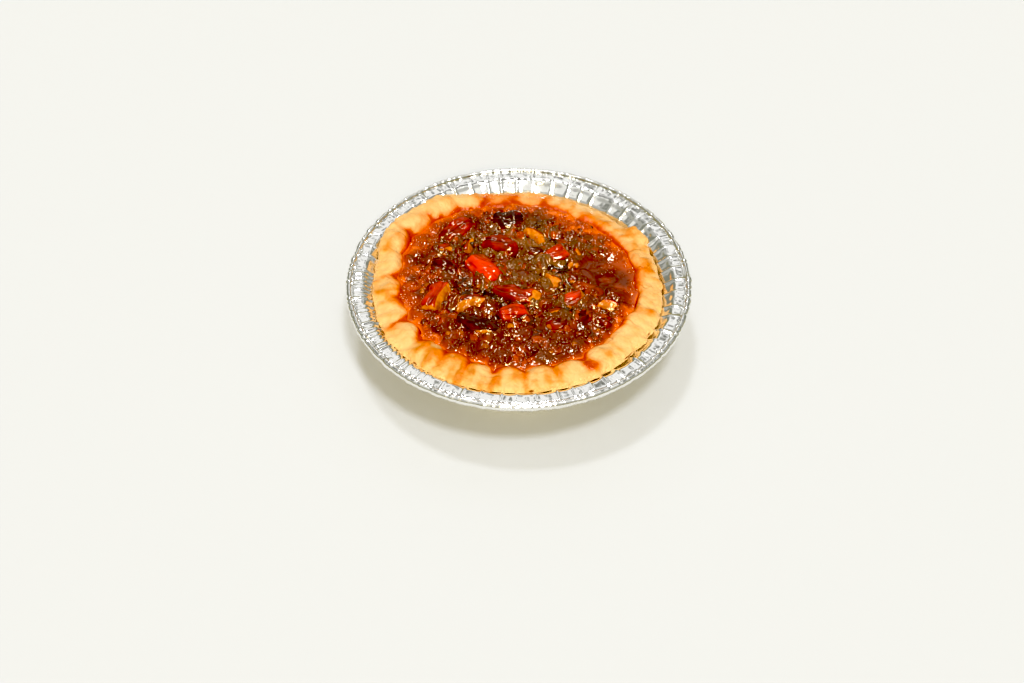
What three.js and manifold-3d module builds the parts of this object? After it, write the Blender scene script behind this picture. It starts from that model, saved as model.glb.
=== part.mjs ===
// Pecan tart in its own foil tin: a pleated foil case with a rolled rim, a crimped pastry shell,
// a caramel filling and chopped pecans set into its top.
// Millimetres, +Z up. The origin is the middle of the tin's underside, and -Y is the front.

import * as THREE from "three";
import { mergeVertices } from "three/addons/utils/BufferGeometryUtils.js";
import Module from "manifold-3d";

const wasm = await Module();
wasm.setup();

// Foil tin
const RIM_RADIUS = 40;
const TIN_HEIGHT = 17;
const BASE_RADIUS = 26;
const BASE_CORNER = 1.2;
const FOIL = 0.3;
const BEAD_WIDTH = 1.1;
const BEAD_HEIGHT = 2;
const FLANGE_WIDTH = 2.3;
const SHOULDER_WIDTH = 1.4;
const SHOULDER_DROP = 0.9;
const PLEATS = 56;
const PLEAT_DEPTH = 0.35;
const PLEAT_JITTER = 0.35;

// Pastry shell
const FIT_GAP = 0.3;
const CRUST_BASE_RADIUS = 24.5;
const CRUST_CORNER = 1.2;
const CRUST_LIP_RADIUS = 33.1;
const CRUST_LIP_Z = 14.7;
const LIP_UNDERCUT = 1.3;
const LIP_ROUND = 1.1;
const CREST_RADIUS = 28.9;
const CREST_Z = 17.1;
const CREST_ROUND = 1.4;
const CREST_FALL = 0.4;
const CRUST_FLOOR = 3.6;
const WATERLINE_RADIUS = 26.9;
const WATERLINE_Z = 15.8;
const INNER_FLOOR_RADIUS = 22.6;
const FLOOR_CORNER = 1;
const CRUST_SHIFT = [-0.7, -0.4, 0];
const NOTCH_DEPTH = 0.9;
const NOTCH_REACH = 1.5;
const TORN_LIP_ANGLE = 30;
const TORN_LIP_WIDTH = 6;
const TORN_LIP_BAND = 1.5;
const TORN_LIP_REACH = 0.9;
const TORN_LIP_RISE = 1;

// Where the edge isn't round: angle, core and reach in degrees, then how far the lip, crest and
// waterline stand out, and how far they stand up
const EDGE_DRIFT = [
  { angle: 90, core: 25, reach: 80, out: [0, 0, 0], up: [-0.8, -0.8, 0] },
  { angle: 136, core: 12, reach: 36, out: [1.9, 1.7, 1.5], up: [2.8, 1.3, 0.3] },
  { angle: 226, core: 20, reach: 40, out: [0, -0.4, -0.8], up: [0, 0, 0] },
  { angle: 0, core: 15, reach: 40, out: [0.2, 0.5, 1.1], up: [0, 0, 0] },
  { angle: 278, core: 52, reach: 88, out: [0.4, 0, 0], up: [0.7, 0, 0] },
];

// Widths of the finger crimps in degrees, anticlockwise from the notch at FIRST_NOTCH
const FIRST_NOTCH = 191;
const CRIMPS = [
  15, 15, 15.5, 11.5, 12.5, 13.5, 12, 16, 14.5, 14, 10, 13, 14,
  13, 15, 12.5, 14, 15, 13, 14.5, 13.5, 15, 13, 14, 15.5, 14.5,
];
const STEPS_PER_CRIMP = 4;

// Caramel filling
const FILLING_CROWN = 0.7;

// Chopped pecans: middle x and y, turn in degrees, length, width, and which side is broken flat
const PECAN_THICKNESS = 0.7;
const PECAN_LIFT = 0.5;
const PECAN_RIDGE = 0.06;
const PECAN_RIDGES = 6;
const PECAN_FULLNESS = 0.8;
const PECANS = [
  [-15, 16.5, 33, 10.5, 5.2, "whole"],
  [-17.5, 10.2, 10, 5.5, 4.2, "end"],
  [-17.3, 3.6, -20, 7.4, 5.4, "whole"],
  [-8.4, 3, -39, 10.4, 6.2, "whole"],
  [-4.6, 11, -12, 9, 6, "whole"],
  [-2.4, 20.2, 10, 7, 6.2, "whole"],
  [-11.4, 10.6, 75, 5.5, 3, "side"],
  [3.6, 14.6, -48, 8, 4.2, "side"],
  [3.2, 9.2, -8, 4.5, 2.8, "whole"],
  [9.5, 8, 25, 7, 5, "end"],
  [14.2, 9.6, 65, 3.6, 2.6, "side"],
  [12.4, 4.2, 30, 3.2, 2.4, "side"],
  [7.8, -1.2, -54, 7.4, 3.4, "side"],
  [12.2, -0.4, -50, 4.6, 3, "whole"],
  [-18.8, -7, 58, 10.5, 6.2, "edge"],
  [-11, -8.6, 6, 8.5, 4.6, "side"],
  [-9.4, -15.8, -30, 12, 5.4, "whole"],
  [0.2, -5.6, -18, 13, 5.2, "whole"],
  [12.8, -6.6, 25, 8, 4.2, "end"],
  [8.6, -11.4, 14, 6, 2.8, "side"],
  [8.8, -15.4, 4, 5.5, 4, "whole"],
  [14.6, -12.9, 42, 5.4, 4.4, "whole"],
  [20.6, -9, -27, 6.6, 3.8, "side"],
  [19.3, -13.8, -28, 4, 3, "whole"],
  [-0.4, -11.4, 12, 8.5, 4.4, "end"],
  [-2.2, -16.2, 66, 3.4, 2.4, "side"],
];
const PECAN_COLOURS = { whole: "#8f210b", end: "#c43a0c", side: "#e58a20", edge: "#e58a20" };

// Broken faces of a pecan piece: direction in the piece's own frame, and how far out, as a share
// of the half size that way
const BROKEN_FACES = {
  whole: [],
  end: [{ facing: [0.85, 0.1, 0.5], reach: 0.6 }],
  side: [
    { facing: [0.1, -0.75, 0.65], reach: 0.5 },
    { facing: [-0.9, 0.2, 0.3], reach: 0.75 },
  ],
  edge: [
    { facing: [0.15, -0.85, 0.5], reach: 0.55 },
    { facing: [-0.9, -0.3, 0.3], reach: 0.75 },
  ],
};

/** Repeatable draws from 0 to 1. */
function seededDraws(seed) {
  let state = seed;
  return () => {
    state = (state * 1664525 + 1013904223) % 4294967296;
    return state / 4294967296;
  };
}

/** Keeps only the positions of a geometry and joins the vertices that share a place. */
function closed(geometry) {
  geometry.deleteAttribute("normal");
  geometry.deleteAttribute("uv");
  const merged = mergeVertices(geometry, 1e-4);
  const corners = Array.from(merged.index.array);
  const kept = [];
  for (let i = 0; i < corners.length; i += 3) {
    const [a, b, c] = corners.slice(i, i + 3);
    if (a !== b && b !== c && c !== a) kept.push(a, b, c);
  }
  merged.setIndex(kept);
  return merged;
}

/**
 * How far out and up the pastry edge stands off its round outline. place is 0 at the lip, 1 at the
 * crest and 2 at the waterline.
 */
function edgeDrift(angle, place) {
  const { degToRad, euclideanModulo, lerp, radToDeg, smoothstep } = THREE.MathUtils;
  const below = Math.min(Math.floor(place), 1);
  const drift = { out: 0, up: 0 };
  for (const row of EDGE_DRIFT) {
    const turn = euclideanModulo(angle - degToRad(row.angle) + Math.PI, 2 * Math.PI) - Math.PI;
    const near = 1 - smoothstep(radToDeg(Math.abs(turn)), row.core, row.reach);
    drift.out += near * lerp(row.out[below], row.out[below + 1], place - below);
    drift.up += near * lerp(row.up[below], row.up[below + 1], place - below);
  }
  return drift;
}

/**
 * A body turned about +Z. Each profile row is a radius and height, how far the relief moves them, and
 * its place along the pastry edge if it drifts with that.
 */
function turned(profile, segments, angleAt, reliefAt) {
  const points = profile.map(([radius, height]) => new THREE.Vector2(radius, height));
  const geometry = new THREE.LatheGeometry(points, segments);
  const position = geometry.attributes.position;
  for (let i = 0; i < position.count; i += 1) {
    const segment = Math.floor(i / points.length);
    const [radius, height, outward = 0, upward = 0, place] = profile[i % points.length];
    const angle = angleAt(segment);
    const relief = reliefAt(segment % segments);
    const drift = place === undefined ? { out: 0, up: 0 } : edgeDrift(angle, place);
    const distance = radius + outward * relief + drift.out;
    const level = height + upward * relief + drift.up;
    position.setXYZ(i, distance * Math.cos(angle), distance * Math.sin(angle), level);
  }
  return closed(geometry);
}

function solidOf(geometry) {
  return new wasm.Manifold(new wasm.Mesh({
    numProp: 3,
    vertProperties: new Float32Array(geometry.attributes.position.array),
    triVerts: new Uint32Array(geometry.index.array),
  }));
}

function geometryOf(solid) {
  const mesh = solid.getMesh();
  const geometry = new THREE.BufferGeometry();
  geometry.setAttribute("position", new THREE.BufferAttribute(mesh.vertProperties, 3));
  geometry.setIndex(new THREE.BufferAttribute(mesh.triVerts, 1));
  return geometry;
}

/** Pleated foil wall between a flat base and a narrow flange that ends in a rolled bead. */
function foilTin() {
  const beadRadius = RIM_RADIUS - BEAD_WIDTH / 2;
  const beadZ = TIN_HEIGHT - BEAD_HEIGHT / 2;
  const flangeRadius = RIM_RADIUS - BEAD_WIDTH - FLANGE_WIDTH;
  const wallTopRadius = flangeRadius - SHOULDER_WIDTH;
  const wallTopZ = beadZ - SHOULDER_DROP;
  const wall = new THREE.Vector2(wallTopRadius - BASE_RADIUS, wallTopZ - BASE_CORNER).normalize();
  const outward = wall.y;
  const downward = wall.x;
  const bead = [190, 270, 0, 45, 90, 160].map((degrees) => {
    const angle = THREE.MathUtils.degToRad(degrees);
    return [
      beadRadius + (BEAD_WIDTH / 2) * Math.cos(angle),
      beadZ + (BEAD_HEIGHT / 2) * Math.sin(angle),
    ];
  });
  const profile = [
    [0, 0],
    [BASE_RADIUS - BASE_CORNER, 0],
    [BASE_RADIUS, BASE_CORNER],
    [wallTopRadius, wallTopZ, outward * PLEAT_DEPTH, -downward * PLEAT_DEPTH],
    [flangeRadius, beadZ - FOIL / 2],
    ...bead,
    [flangeRadius, beadZ + FOIL / 2],
    [
      wallTopRadius - FOIL * outward,
      wallTopZ + FOIL * downward,
      outward * PLEAT_DEPTH,
      -downward * PLEAT_DEPTH,
    ],
    [BASE_RADIUS - FOIL * outward, BASE_CORNER + FOIL * downward],
    [BASE_RADIUS - BASE_CORNER - FOIL * downward, FOIL],
    [0, FOIL],
  ];
  const segments = PLEATS * 2;
  const step = (2 * Math.PI) / segments;
  const angleAt = (segment) => segment * step;
  const draw = seededDraws(7);
  const reliefs = Array.from({ length: segments }, (_, i) => {
    const fold = i % 2 ? 1 : -1;
    return fold + (2 * draw() - 1) * PLEAT_JITTER;
  });
  return turned(profile, segments, angleAt, (segment) => reliefs[segment] / (1 + PLEAT_JITTER));
}

/** The angle of each step round the crimped edge, in radians. */
function crimpAngles() {
  const total = CRIMPS.reduce((sum, width) => sum + width, 0);
  const angles = [];
  let notch = FIRST_NOTCH;
  for (const width of CRIMPS) {
    const turn = (width * 360) / total;
    for (let step = 0; step < STEPS_PER_CRIMP; step += 1) {
      angles.push(THREE.MathUtils.degToRad(notch + (turn * step) / STEPS_PER_CRIMP));
    }
    notch += turn;
  }
  return angles;
}

const CRIMP_ANGLES = crimpAngles();
const CRIMP_SEGMENTS = CRIMP_ANGLES.length;

function crimpAngle(segment) {
  const turns = Math.floor(segment / CRIMP_SEGMENTS);
  return CRIMP_ANGLES[segment % CRIMP_SEGMENTS] + turns * 2 * Math.PI;
}

/** How much of a notch each step is: 1 in the notch between two crimps, 0 on the pillow of one. */
function notchAt(segment) {
  const across = (segment % STEPS_PER_CRIMP) / STEPS_PER_CRIMP;
  return 1 - Math.sqrt(Math.sin(Math.PI * across));
}

/** Pastry shell: a thick floor and sloping sides, with a rounded edge pinched into crimps. */
function pastryCrust() {
  const bottom = FOIL + FIT_GAP;
  const floor = bottom + CRUST_FLOOR;
  const profile = [
    [0, bottom],
    [CRUST_BASE_RADIUS - CRUST_CORNER, bottom],
    [CRUST_BASE_RADIUS, bottom + CRUST_CORNER],
    [CRUST_LIP_RADIUS - LIP_UNDERCUT, CRUST_LIP_Z - LIP_UNDERCUT],
    [CRUST_LIP_RADIUS, CRUST_LIP_Z, 0, 0, 0],
    [CRUST_LIP_RADIUS - LIP_ROUND, CRUST_LIP_Z + LIP_ROUND, 0, -NOTCH_DEPTH * 0.15, 0.33],
    [CREST_RADIUS + CREST_ROUND, CREST_Z - CREST_FALL, 0, -NOTCH_DEPTH * 0.45, 0.67],
    [CREST_RADIUS, CREST_Z, NOTCH_REACH * 0.6, -NOTCH_DEPTH, 1],
    [CREST_RADIUS - CREST_ROUND, CREST_Z - CREST_FALL, NOTCH_REACH * 0.9, -NOTCH_DEPTH * 0.7, 1.5],
    [WATERLINE_RADIUS, WATERLINE_Z, NOTCH_REACH, 0, 2],
    [INNER_FLOOR_RADIUS, floor + FLOOR_CORNER],
    [INNER_FLOOR_RADIUS - FLOOR_CORNER, floor],
    [0, floor],
  ];
  const geometry = turned(profile, CRIMP_SEGMENTS, crimpAngle, notchAt);
  tearLip(geometry);
  return geometry;
}

/** Draws a short stretch of the lip up and outwards, where the pastry edge sticks out as a small tab. */
function tearLip(geometry) {
  const position = geometry.attributes.position;
  const middle = THREE.MathUtils.degToRad(TORN_LIP_ANGLE);
  const halfWidth = THREE.MathUtils.degToRad(TORN_LIP_WIDTH);
  for (let i = 0; i < position.count; i += 1) {
    const radius = Math.hypot(position.getX(i), position.getY(i));
    const angle = Math.atan2(position.getY(i), position.getX(i));
    const away = Math.abs(angle - middle) / halfWidth;
    const outside = radius > CRUST_LIP_RADIUS - TORN_LIP_BAND;
    const above = position.getZ(i) > CRUST_LIP_Z - TORN_LIP_BAND / 3;
    if (outside && above && away < 1) {
      const share = 1 - away * away;
      const stretch = 1 + (TORN_LIP_REACH * share) / radius;
      position.setX(i, position.getX(i) * stretch);
      position.setY(i, position.getY(i) * stretch);
      position.setZ(i, position.getZ(i) + TORN_LIP_RISE * share);
    }
  }
}

/** Height of the caramel at a place on its top. */
function caramelTop(x, y) {
  const out = Math.min(1, Math.hypot(x, y) / WATERLINE_RADIUS);
  return WATERLINE_Z + FILLING_CROWN * (1 - out ** 4);
}

/** Caramel that fills the shell up to its waterline, before the pecans press into it. */
function caramelBody() {
  const floor = FOIL + FIT_GAP + CRUST_FLOOR + FIT_GAP;
  const edge = WATERLINE_RADIUS - 2.5 * FIT_GAP;
  const topRings = [0.93, 0.6, 0];
  const profile = [
    [0, floor],
    [INNER_FLOOR_RADIUS - FLOOR_CORNER - 2 * FIT_GAP, floor],
    [INNER_FLOOR_RADIUS - 2 * FIT_GAP, floor + FLOOR_CORNER],
    [edge, WATERLINE_Z - FIT_GAP, NOTCH_REACH, 0, 2],
    ...topRings.map((share) => [share * edge, WATERLINE_Z, share > 0.9 ? NOTCH_REACH / 2 : 0, 0]),
  ];
  const geometry = turned(profile, CRIMP_SEGMENTS, crimpAngle, notchAt);
  const position = geometry.attributes.position;
  for (let i = 0; i < position.count; i += 1) {
    if (position.getZ(i) > WATERLINE_Z - FIT_GAP / 2) {
      position.setZ(i, caramelTop(position.getX(i), position.getY(i)));
    }
  }
  return geometry;
}

/** One chopped pecan piece, long way on X: a ridged oval, flat where it broke. grow widens it all round. */
function pecanGeometry(length, width, broken, grow) {
  const half = new THREE.Vector3(length, width, width * PECAN_THICKNESS).multiplyScalar(0.5).addScalar(grow);
  const geometry = new THREE.SphereGeometry(1, 2 * PECAN_RIDGES, 6);
  const position = geometry.attributes.position;
  const place = new THREE.Vector3();
  for (let i = 0; i < position.count; i += 1) {
    place.fromBufferAttribute(position, i);
    const round = Math.hypot(place.x, place.z);
    const ridge = 1 + PECAN_RIDGE * Math.cos(PECAN_RIDGES * Math.atan2(place.z, place.x));
    const fuller = round > 1e-6 ? (ridge * round ** PECAN_FULLNESS) / round : 0;
    place.set(place.y * half.x, place.x * fuller * half.y, -place.z * fuller * half.z);
    for (const { facing, reach } of BROKEN_FACES[broken]) {
      const face = new THREE.Vector3(...facing).normalize();
      const size = new THREE.Vector3(face.x * length, face.y * width, face.z * width * PECAN_THICKNESS);
      const limit = (reach * size.length()) / 2 + grow;
      const past = place.dot(face) - limit;
      if (past > 0) place.addScaledVector(face, -past);
    }
    position.setXYZ(i, place.x, place.y, place.z);
  }
  return closed(geometry);
}

function named(name, geometry, settings) {
  const mesh = new THREE.Mesh(geometry, new THREE.MeshStandardMaterial(settings));
  mesh.name = name;
  return mesh;
}

const tart = new THREE.Group();
tart.add(named("foil_tin", foilTin(), { color: "#d8d7d0", metalness: 1, roughness: 0.3 }));

const pastry = named("pastry_crust", pastryCrust(), { color: "#f3c377", metalness: 0, roughness: 0.7 });
pastry.position.set(...CRUST_SHIFT);
tart.add(pastry);

let caramel = solidOf(caramelBody().translate(...CRUST_SHIFT));
PECANS.forEach(([x, y, turn, length, width, broken], index) => {
  const name = `pecan_${String(index + 1).padStart(2, "0")}`;
  const finish = { color: PECAN_COLOURS[broken], metalness: 0, roughness: 0.3 };
  const pecan = named(name, pecanGeometry(length, width, broken, 0), finish);
  pecan.position.set(x, y, caramelTop(x - CRUST_SHIFT[0], y - CRUST_SHIFT[1]) + PECAN_LIFT);
  pecan.rotation.z = THREE.MathUtils.degToRad(turn);
  pecan.updateMatrixWorld();
  tart.add(pecan);
  const pocket = pecanGeometry(length, width, broken, FIT_GAP).applyMatrix4(pecan.matrixWorld);
  caramel = caramel.subtract(solidOf(pocket));
});
tart.add(named("caramel_filling", geometryOf(caramel), { color: "#84400f", metalness: 0, roughness: 0.2 }));

export default tart;
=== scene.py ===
"""Pecan tart in its own foil tin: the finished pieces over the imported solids, and a plain stage.

Everything is in metres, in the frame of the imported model: +Z up, the middle of the tin's underside at the
origin, and -Y the front.
"""

import math

import bpy
import numpy as np
from bpy.props import FloatProperty, FloatVectorProperty, IntProperty, PointerProperty
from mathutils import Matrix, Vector


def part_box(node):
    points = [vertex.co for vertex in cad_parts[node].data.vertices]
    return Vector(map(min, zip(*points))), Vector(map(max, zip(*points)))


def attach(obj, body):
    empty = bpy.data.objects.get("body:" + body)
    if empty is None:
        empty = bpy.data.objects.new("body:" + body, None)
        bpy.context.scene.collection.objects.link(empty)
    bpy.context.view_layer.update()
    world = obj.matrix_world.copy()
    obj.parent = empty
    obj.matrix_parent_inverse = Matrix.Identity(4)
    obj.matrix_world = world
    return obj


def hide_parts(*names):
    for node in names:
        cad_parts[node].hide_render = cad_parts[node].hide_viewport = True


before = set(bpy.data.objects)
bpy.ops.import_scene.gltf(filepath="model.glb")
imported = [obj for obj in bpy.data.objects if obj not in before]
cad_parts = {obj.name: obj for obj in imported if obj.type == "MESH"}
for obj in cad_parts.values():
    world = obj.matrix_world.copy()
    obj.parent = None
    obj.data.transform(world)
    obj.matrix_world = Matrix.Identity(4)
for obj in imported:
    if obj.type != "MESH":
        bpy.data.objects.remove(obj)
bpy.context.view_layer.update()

bl_info = {
    "name": "Pecan tart",
    "version": (1, 0, 0),
    "blender": (4, 5, 0),
    "location": "View3D > Sidebar > Pecan tart",
    "description": "Makes a small pecan tart in its pleated foil tin, and a plain stage for it",
    "category": "Object",
}

MM = 0.001
BODY = "root"
FULL_TURN = 2 * math.pi
WARM_GLINT = (1, 0.85, 0.67, 1)

# Radius of the innermost ring of a turned piece, which a fan closes
HUB = 1 * MM

# Finger crimps: the angle of the first notch, and the width of each crimp anticlockwise from it, in degrees
FIRST_NOTCH = 191
CRIMPS = [
    15, 15, 15.5, 11.5, 12.5, 13.5, 12, 16, 14.5, 14, 10, 13, 14,
    13, 15, 12.5, 14, 15, 13, 14.5, 13.5, 15, 13, 14, 15.5, 14.5,
]

# Where the crust's edge isn't round: angle, reach and core in degrees, then how far lip, crest and caramel
# edge stand out, and how far they stand up, in millimetres
EDGE_DRIFT = [
    (90, 80, 25, (0, 0, 0), (-0.8, -0.8, 0)),
    (136, 36, 12, (2.0, 1.7, 1.5), (2.8, 1.3, 0.3)),
    (226, 40, 20, (0.0, -0.4, -0.8), (0, 0, 0)),
    (0, 40, 15, (0.2, 0.5, 1.1), (0, 0, 0)),
    (278, 88, 52, (1.1, 0.0, 0.0), (0.7, 0, 0)),
]

# Gaps where the lip has come away, dented in and given painted shade: angle in degrees, then length along
# the lip in millimetres
LIP_GAPS = [
    (208, 2.4), (229, 1.6), (258, 1.0), (276, 1.4), (305, 1.6), (318, 3.6), (332, 1.2), (20, 2.4), (8, 2.8),
]

# Fine cracks across the crimped edge: angle in degrees, then where they start and end, from 0 at the lip to
# 1 at the crest and 2 at the caramel
CRUST_CRACKS = [
    (333, 0.75, 1.8), (346, 1.0, 1.7), (357, 0.7, 1.5), (320, 1.1, 1.8), (9, 0.6, 1.4), (21, 0.6, 1.3),
    (152, 0.8, 1.6), (178, 0.9, 1.6),
]

# Chopped pecans: middle x and y, turn in degrees, length and width in millimetres, which side is broken
# flat, and how dark the skin is
PECANS = [
    (-15, 16.5, 33, 10.5, 5.2, "whole", 0.5),
    (-17.5, 10.2, 10, 5.5, 4.2, "end", 0.45),
    (-17.3, 3.6, -20, 7.4, 5.4, "whole", 0.75),
    (-8.4, 3, -39, 10.4, 6.2, "whole", 0.05),
    (-4.6, 11, -12, 9, 6, "whole", 0.58),
    (-2.4, 20.2, 10, 7, 6.2, "whole", 0.9),
    (-11.4, 10.6, 75, 5.5, 3, "side", 0.5),
    (3.6, 14.6, -48, 8, 4.2, "side", 0.6),
    (3.2, 9.2, -8, 4.5, 2.8, "whole", 0.85),
    (9.5, 8, 25, 7, 5, "end", 0.25),
    (14.2, 9.6, 65, 3.6, 2.6, "side", 0.4),
    (12.4, 4.2, 30, 3.2, 2.4, "side", 0.5),
    (7.8, -1.2, -54, 7.4, 3.4, "side", 0.45),
    (12.2, -0.4, -50, 4.6, 3, "whole", 0.65),
    (-18.8, -7, 58, 10.5, 6.2, "edge", 0.28),
    (-11, -8.6, 6, 8.5, 4.6, "side", 0.65),
    (-9.4, -15.8, -30, 12, 5.4, "whole", 0.92),
    (0.2, -5.6, -18, 13, 5.2, "whole", 0.5),
    (12.8, -6.6, 25, 8, 4.2, "end", 0.18),
    (8.6, -11.4, 14, 6, 2.8, "side", 0.5),
    (8.8, -15.4, 4, 5.5, 4, "whole", 0.55),
    (14.6, -12.9, 42, 5.4, 4.4, "whole", 0.95),
    (20.6, -9, -27, 6.6, 3.8, "side", 0.35),
    (19.3, -13.8, -28, 4, 3, "whole", 0.7),
    (-0.4, -11.4, 12, 8.5, 4.4, "end", 0.3),
    (-2.2, -16.2, 66, 3.4, 2.4, "side", 0.5),
]

# Broken faces of a pecan piece: direction in the piece's own frame, and how far out, as a share of its half
# size
BROKEN_FACES = {
    "whole": [],
    "end": [((0.85, 0.1, 0.5), 0.6)],
    "side": [((0.1, -0.6, 0.8), 0.3), ((-0.9, 0.2, 0.3), 0.7)],
    "edge": [((0.15, -0.85, 0.5), 0.55), ((-0.9, -0.3, 0.3), 0.75)],
}
FLESH_SHOWS = ("side", "edge")


# Colour, nodes and settings

def linear(code):
    """Linear red, green, blue and alpha of an sRGB hex colour."""
    shares = [int(code[i:i + 2], 16) / 255 for i in (1, 3, 5)]
    return (*[c / 12.92 if c <= 0.04045 else ((c + 0.055) / 1.055) ** 2.4 for c in shares], 1.0)


def add_node(tree, kind, inputs=None, output=0, stops=None, **settings):
    """Adds a shader node and gives one of its outputs.

    inputs maps a socket to a value or to an output to link, and stops fill a colour ramp. Sockets 1 to 4 of
    a MapRange are the range that comes in and the one that goes out, and 0, 6 and 7 of a Mix are the share
    and the two colours.
    """
    node = tree.nodes.new(f"ShaderNode{kind}")
    for name, value in settings.items():
        setattr(node, name, value)
    for key, value in (inputs or {}).items():
        if isinstance(value, bpy.types.NodeSocket):
            tree.links.new(value, node.inputs[key])
        else:
            node.inputs[key].default_value = value
    if stops:
        elements = node.color_ramp.elements
        while len(elements) < len(stops):
            elements.new(1)
        for element, (place, colour_there) in zip(elements, stops):
            element.position = place
            element.color = colour_there
    return node.outputs[output] if node.outputs else None


def new_material(name):
    """An empty node material, with its tree and the coordinates that its patterns are laid out in."""
    material = bpy.data.materials.new(name)
    material.use_nodes = True
    tree = material.node_tree
    tree.nodes.clear()
    return material, tree, add_node(tree, "TexCoord", output="Object")


def point_values(tree, *labels):
    """Outputs that give the values of a mesh's points, by the labels of those values."""
    return [add_node(tree, "Attribute", output="Fac", attribute_name=label) for label in labels]


def length(name, description, size):
    """A length setting, in metres."""
    return FloatProperty(name=name, description=description, default=size, unit="LENGTH", precision=5)


def colour(name, description, code):
    """A colour setting, from an sRGB hex colour."""
    return FloatVectorProperty(
        name=name, description=description, default=linear(code), subtype="COLOR", size=4, min=0, max=1)


def share(name, description, value):
    """A plain number setting from 0 to 1."""
    return FloatProperty(name=name, description=description, default=value, min=0, max=1, subtype="FACTOR")


# Repeatable noise and small shaping tools

def smoothstep(low, high, values):
    """0 below low, 1 above high, and eased between them."""
    part = np.clip((values - low) / (high - low), 0, 1)
    return part * part * (3 - 2 * part)


def cell_values(cells, seed):
    """A repeatable value from -1 to 1 for each whole-number cell."""
    x, y, z = (cells[..., axis].astype(np.uint32) for axis in range(3))
    mixed = x * np.uint32(0x8DA6B343) ^ y * np.uint32(0xD8163841) ^ z * np.uint32(0xCB1AB31F)
    mixed ^= np.uint32((seed * 0x9E3779B1) % 2 ** 32)
    mixed ^= mixed >> np.uint32(15)
    mixed *= np.uint32(0x2C1B3C6D)
    mixed ^= mixed >> np.uint32(12)
    mixed *= np.uint32(0x297A2D39)
    mixed ^= mixed >> np.uint32(15)
    return mixed / 2.0 ** 31 - 1


def lumps(points, pitch, seed):
    """Smooth noise from -1 to 1 at each point, with lumps about pitch across. pitch may differ by axis."""
    scaled = points / pitch
    corner = np.floor(scaled)
    blend = scaled - corner
    blend = blend * blend * blend * (blend * (6 * blend - 15) + 10)
    corner = corner.astype(np.int64)
    total = 0
    for step in np.ndindex(2, 2, 2):
        weight = np.prod(np.where(step, blend, 1 - blend), axis=-1)
        total = total + weight * cell_values(corner + step, seed)
    return total


def layered(points, layers):
    """Sum of layers of noise. A layer is its height and its pitch, both in millimetres, and its seed."""
    return sum(height * MM * lumps(points, pitch * MM, seed) for height, pitch, seed in layers)


def angle_gap(angles, degrees):
    """Signed angle from a direction given in degrees, in radians from -pi to pi."""
    return (angles - math.radians(degrees) + math.pi) % FULL_TURN - math.pi


def near_angle(angles, degrees, reach, core):
    """1 within core degrees of a direction, 0 beyond reach degrees from it."""
    return smoothstep(reach, core, np.abs(np.degrees(angle_gap(angles, degrees))))


def even_angles(count):
    """Angles spread evenly over a full turn."""
    return np.arange(count) * FULL_TURN / count


def profile_path(rows, spans, rounding):
    """A turned outline with its corners eased, sampled span by span.

    A row is a radius and a height, then any weights that go with that place. A span is the two rows that it
    runs between and its number of steps. rounding is how far along the outline a corner is eased.
    """
    fine_steps = 6000
    rows = np.array(rows, float)
    run = np.concatenate([[0], np.cumsum(np.hypot(*np.diff(rows[:, :2], axis=0).T))])
    fine = np.linspace(0, run[-1], fine_steps)
    dense = np.stack([np.interp(fine, run, column) for column in rows.T], axis=1)
    spread = rounding / fine[1]
    reach = int(3 * spread)
    bell = np.exp(-0.5 * (np.arange(-reach, reach + 1) / spread) ** 2)
    ends = 2 * dense[0] - dense[reach:0:-1], 2 * dense[-1] - dense[-2:-reach - 2:-1]
    padded = np.concatenate([ends[0], dense, ends[1]])
    eased = np.stack([np.convolve(column, bell / bell.sum(), "valid") for column in padded.T], axis=1)
    stops = [np.linspace(run[first], run[last], steps, endpoint=False) for first, last, steps in spans]
    stops = np.append(np.concatenate(stops), run[spans[-1][1]])
    return np.stack([np.interp(stops, fine, column) for column in eased.T], axis=1)


def turned(radius, angles, height):
    """Points at a radius, angle and height, each of which may be an array."""
    return np.stack(np.broadcast_arrays(radius * np.cos(angles), radius * np.sin(angles), height), axis=-1)


def grid_normals(grid):
    """Unit normals of a grid of points whose rows close on themselves."""
    around = np.roll(grid, -1, axis=1) - np.roll(grid, 1, axis=1)
    normals = np.cross(around, np.gradient(grid, axis=0))
    return normals / np.maximum(np.linalg.norm(normals, axis=-1, keepdims=True), 1e-12)


def ring_faces(rows, columns):
    """Quads between rings of points, and a fan to the middle point of each end, which follow the grid."""
    row, column = np.meshgrid(np.arange(rows - 1), np.arange(columns), indexing="ij")
    after = (column + 1) % columns
    corners = [row * columns + column, row * columns + after]
    corners += [corners[1] + columns, corners[0] + columns]
    quads = np.stack(corners, axis=-1).reshape(-1, 4)
    ring = np.arange(columns)
    following = (ring + 1) % columns
    first, last = rows * columns, rows * columns + 1
    start = (rows - 1) * columns
    fans = [np.stack([following, ring, np.full(columns, first)], axis=1)]
    fans += [np.stack([start + ring, start + following, np.full(columns, last)], axis=1)]
    return quads.tolist() + np.concatenate(fans).tolist()


def closed_rings(grid):
    """Points and faces of a body of rings, closed by the middle point of its first and its last ring."""
    rows, columns = grid.shape[:2]
    points = np.concatenate([grid.reshape(-1, 3), grid[:1].mean(axis=1), grid[-1:].mean(axis=1)])
    return points, ring_faces(rows, columns)


def with_ends(values):
    """Values of a grid's points by label, each with those of the two middle points that close the grid."""
    return {
        label: np.concatenate([grid.ravel(), [grid[0].mean(), grid[-1].mean()]])
        for label, grid in values.items()}


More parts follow.
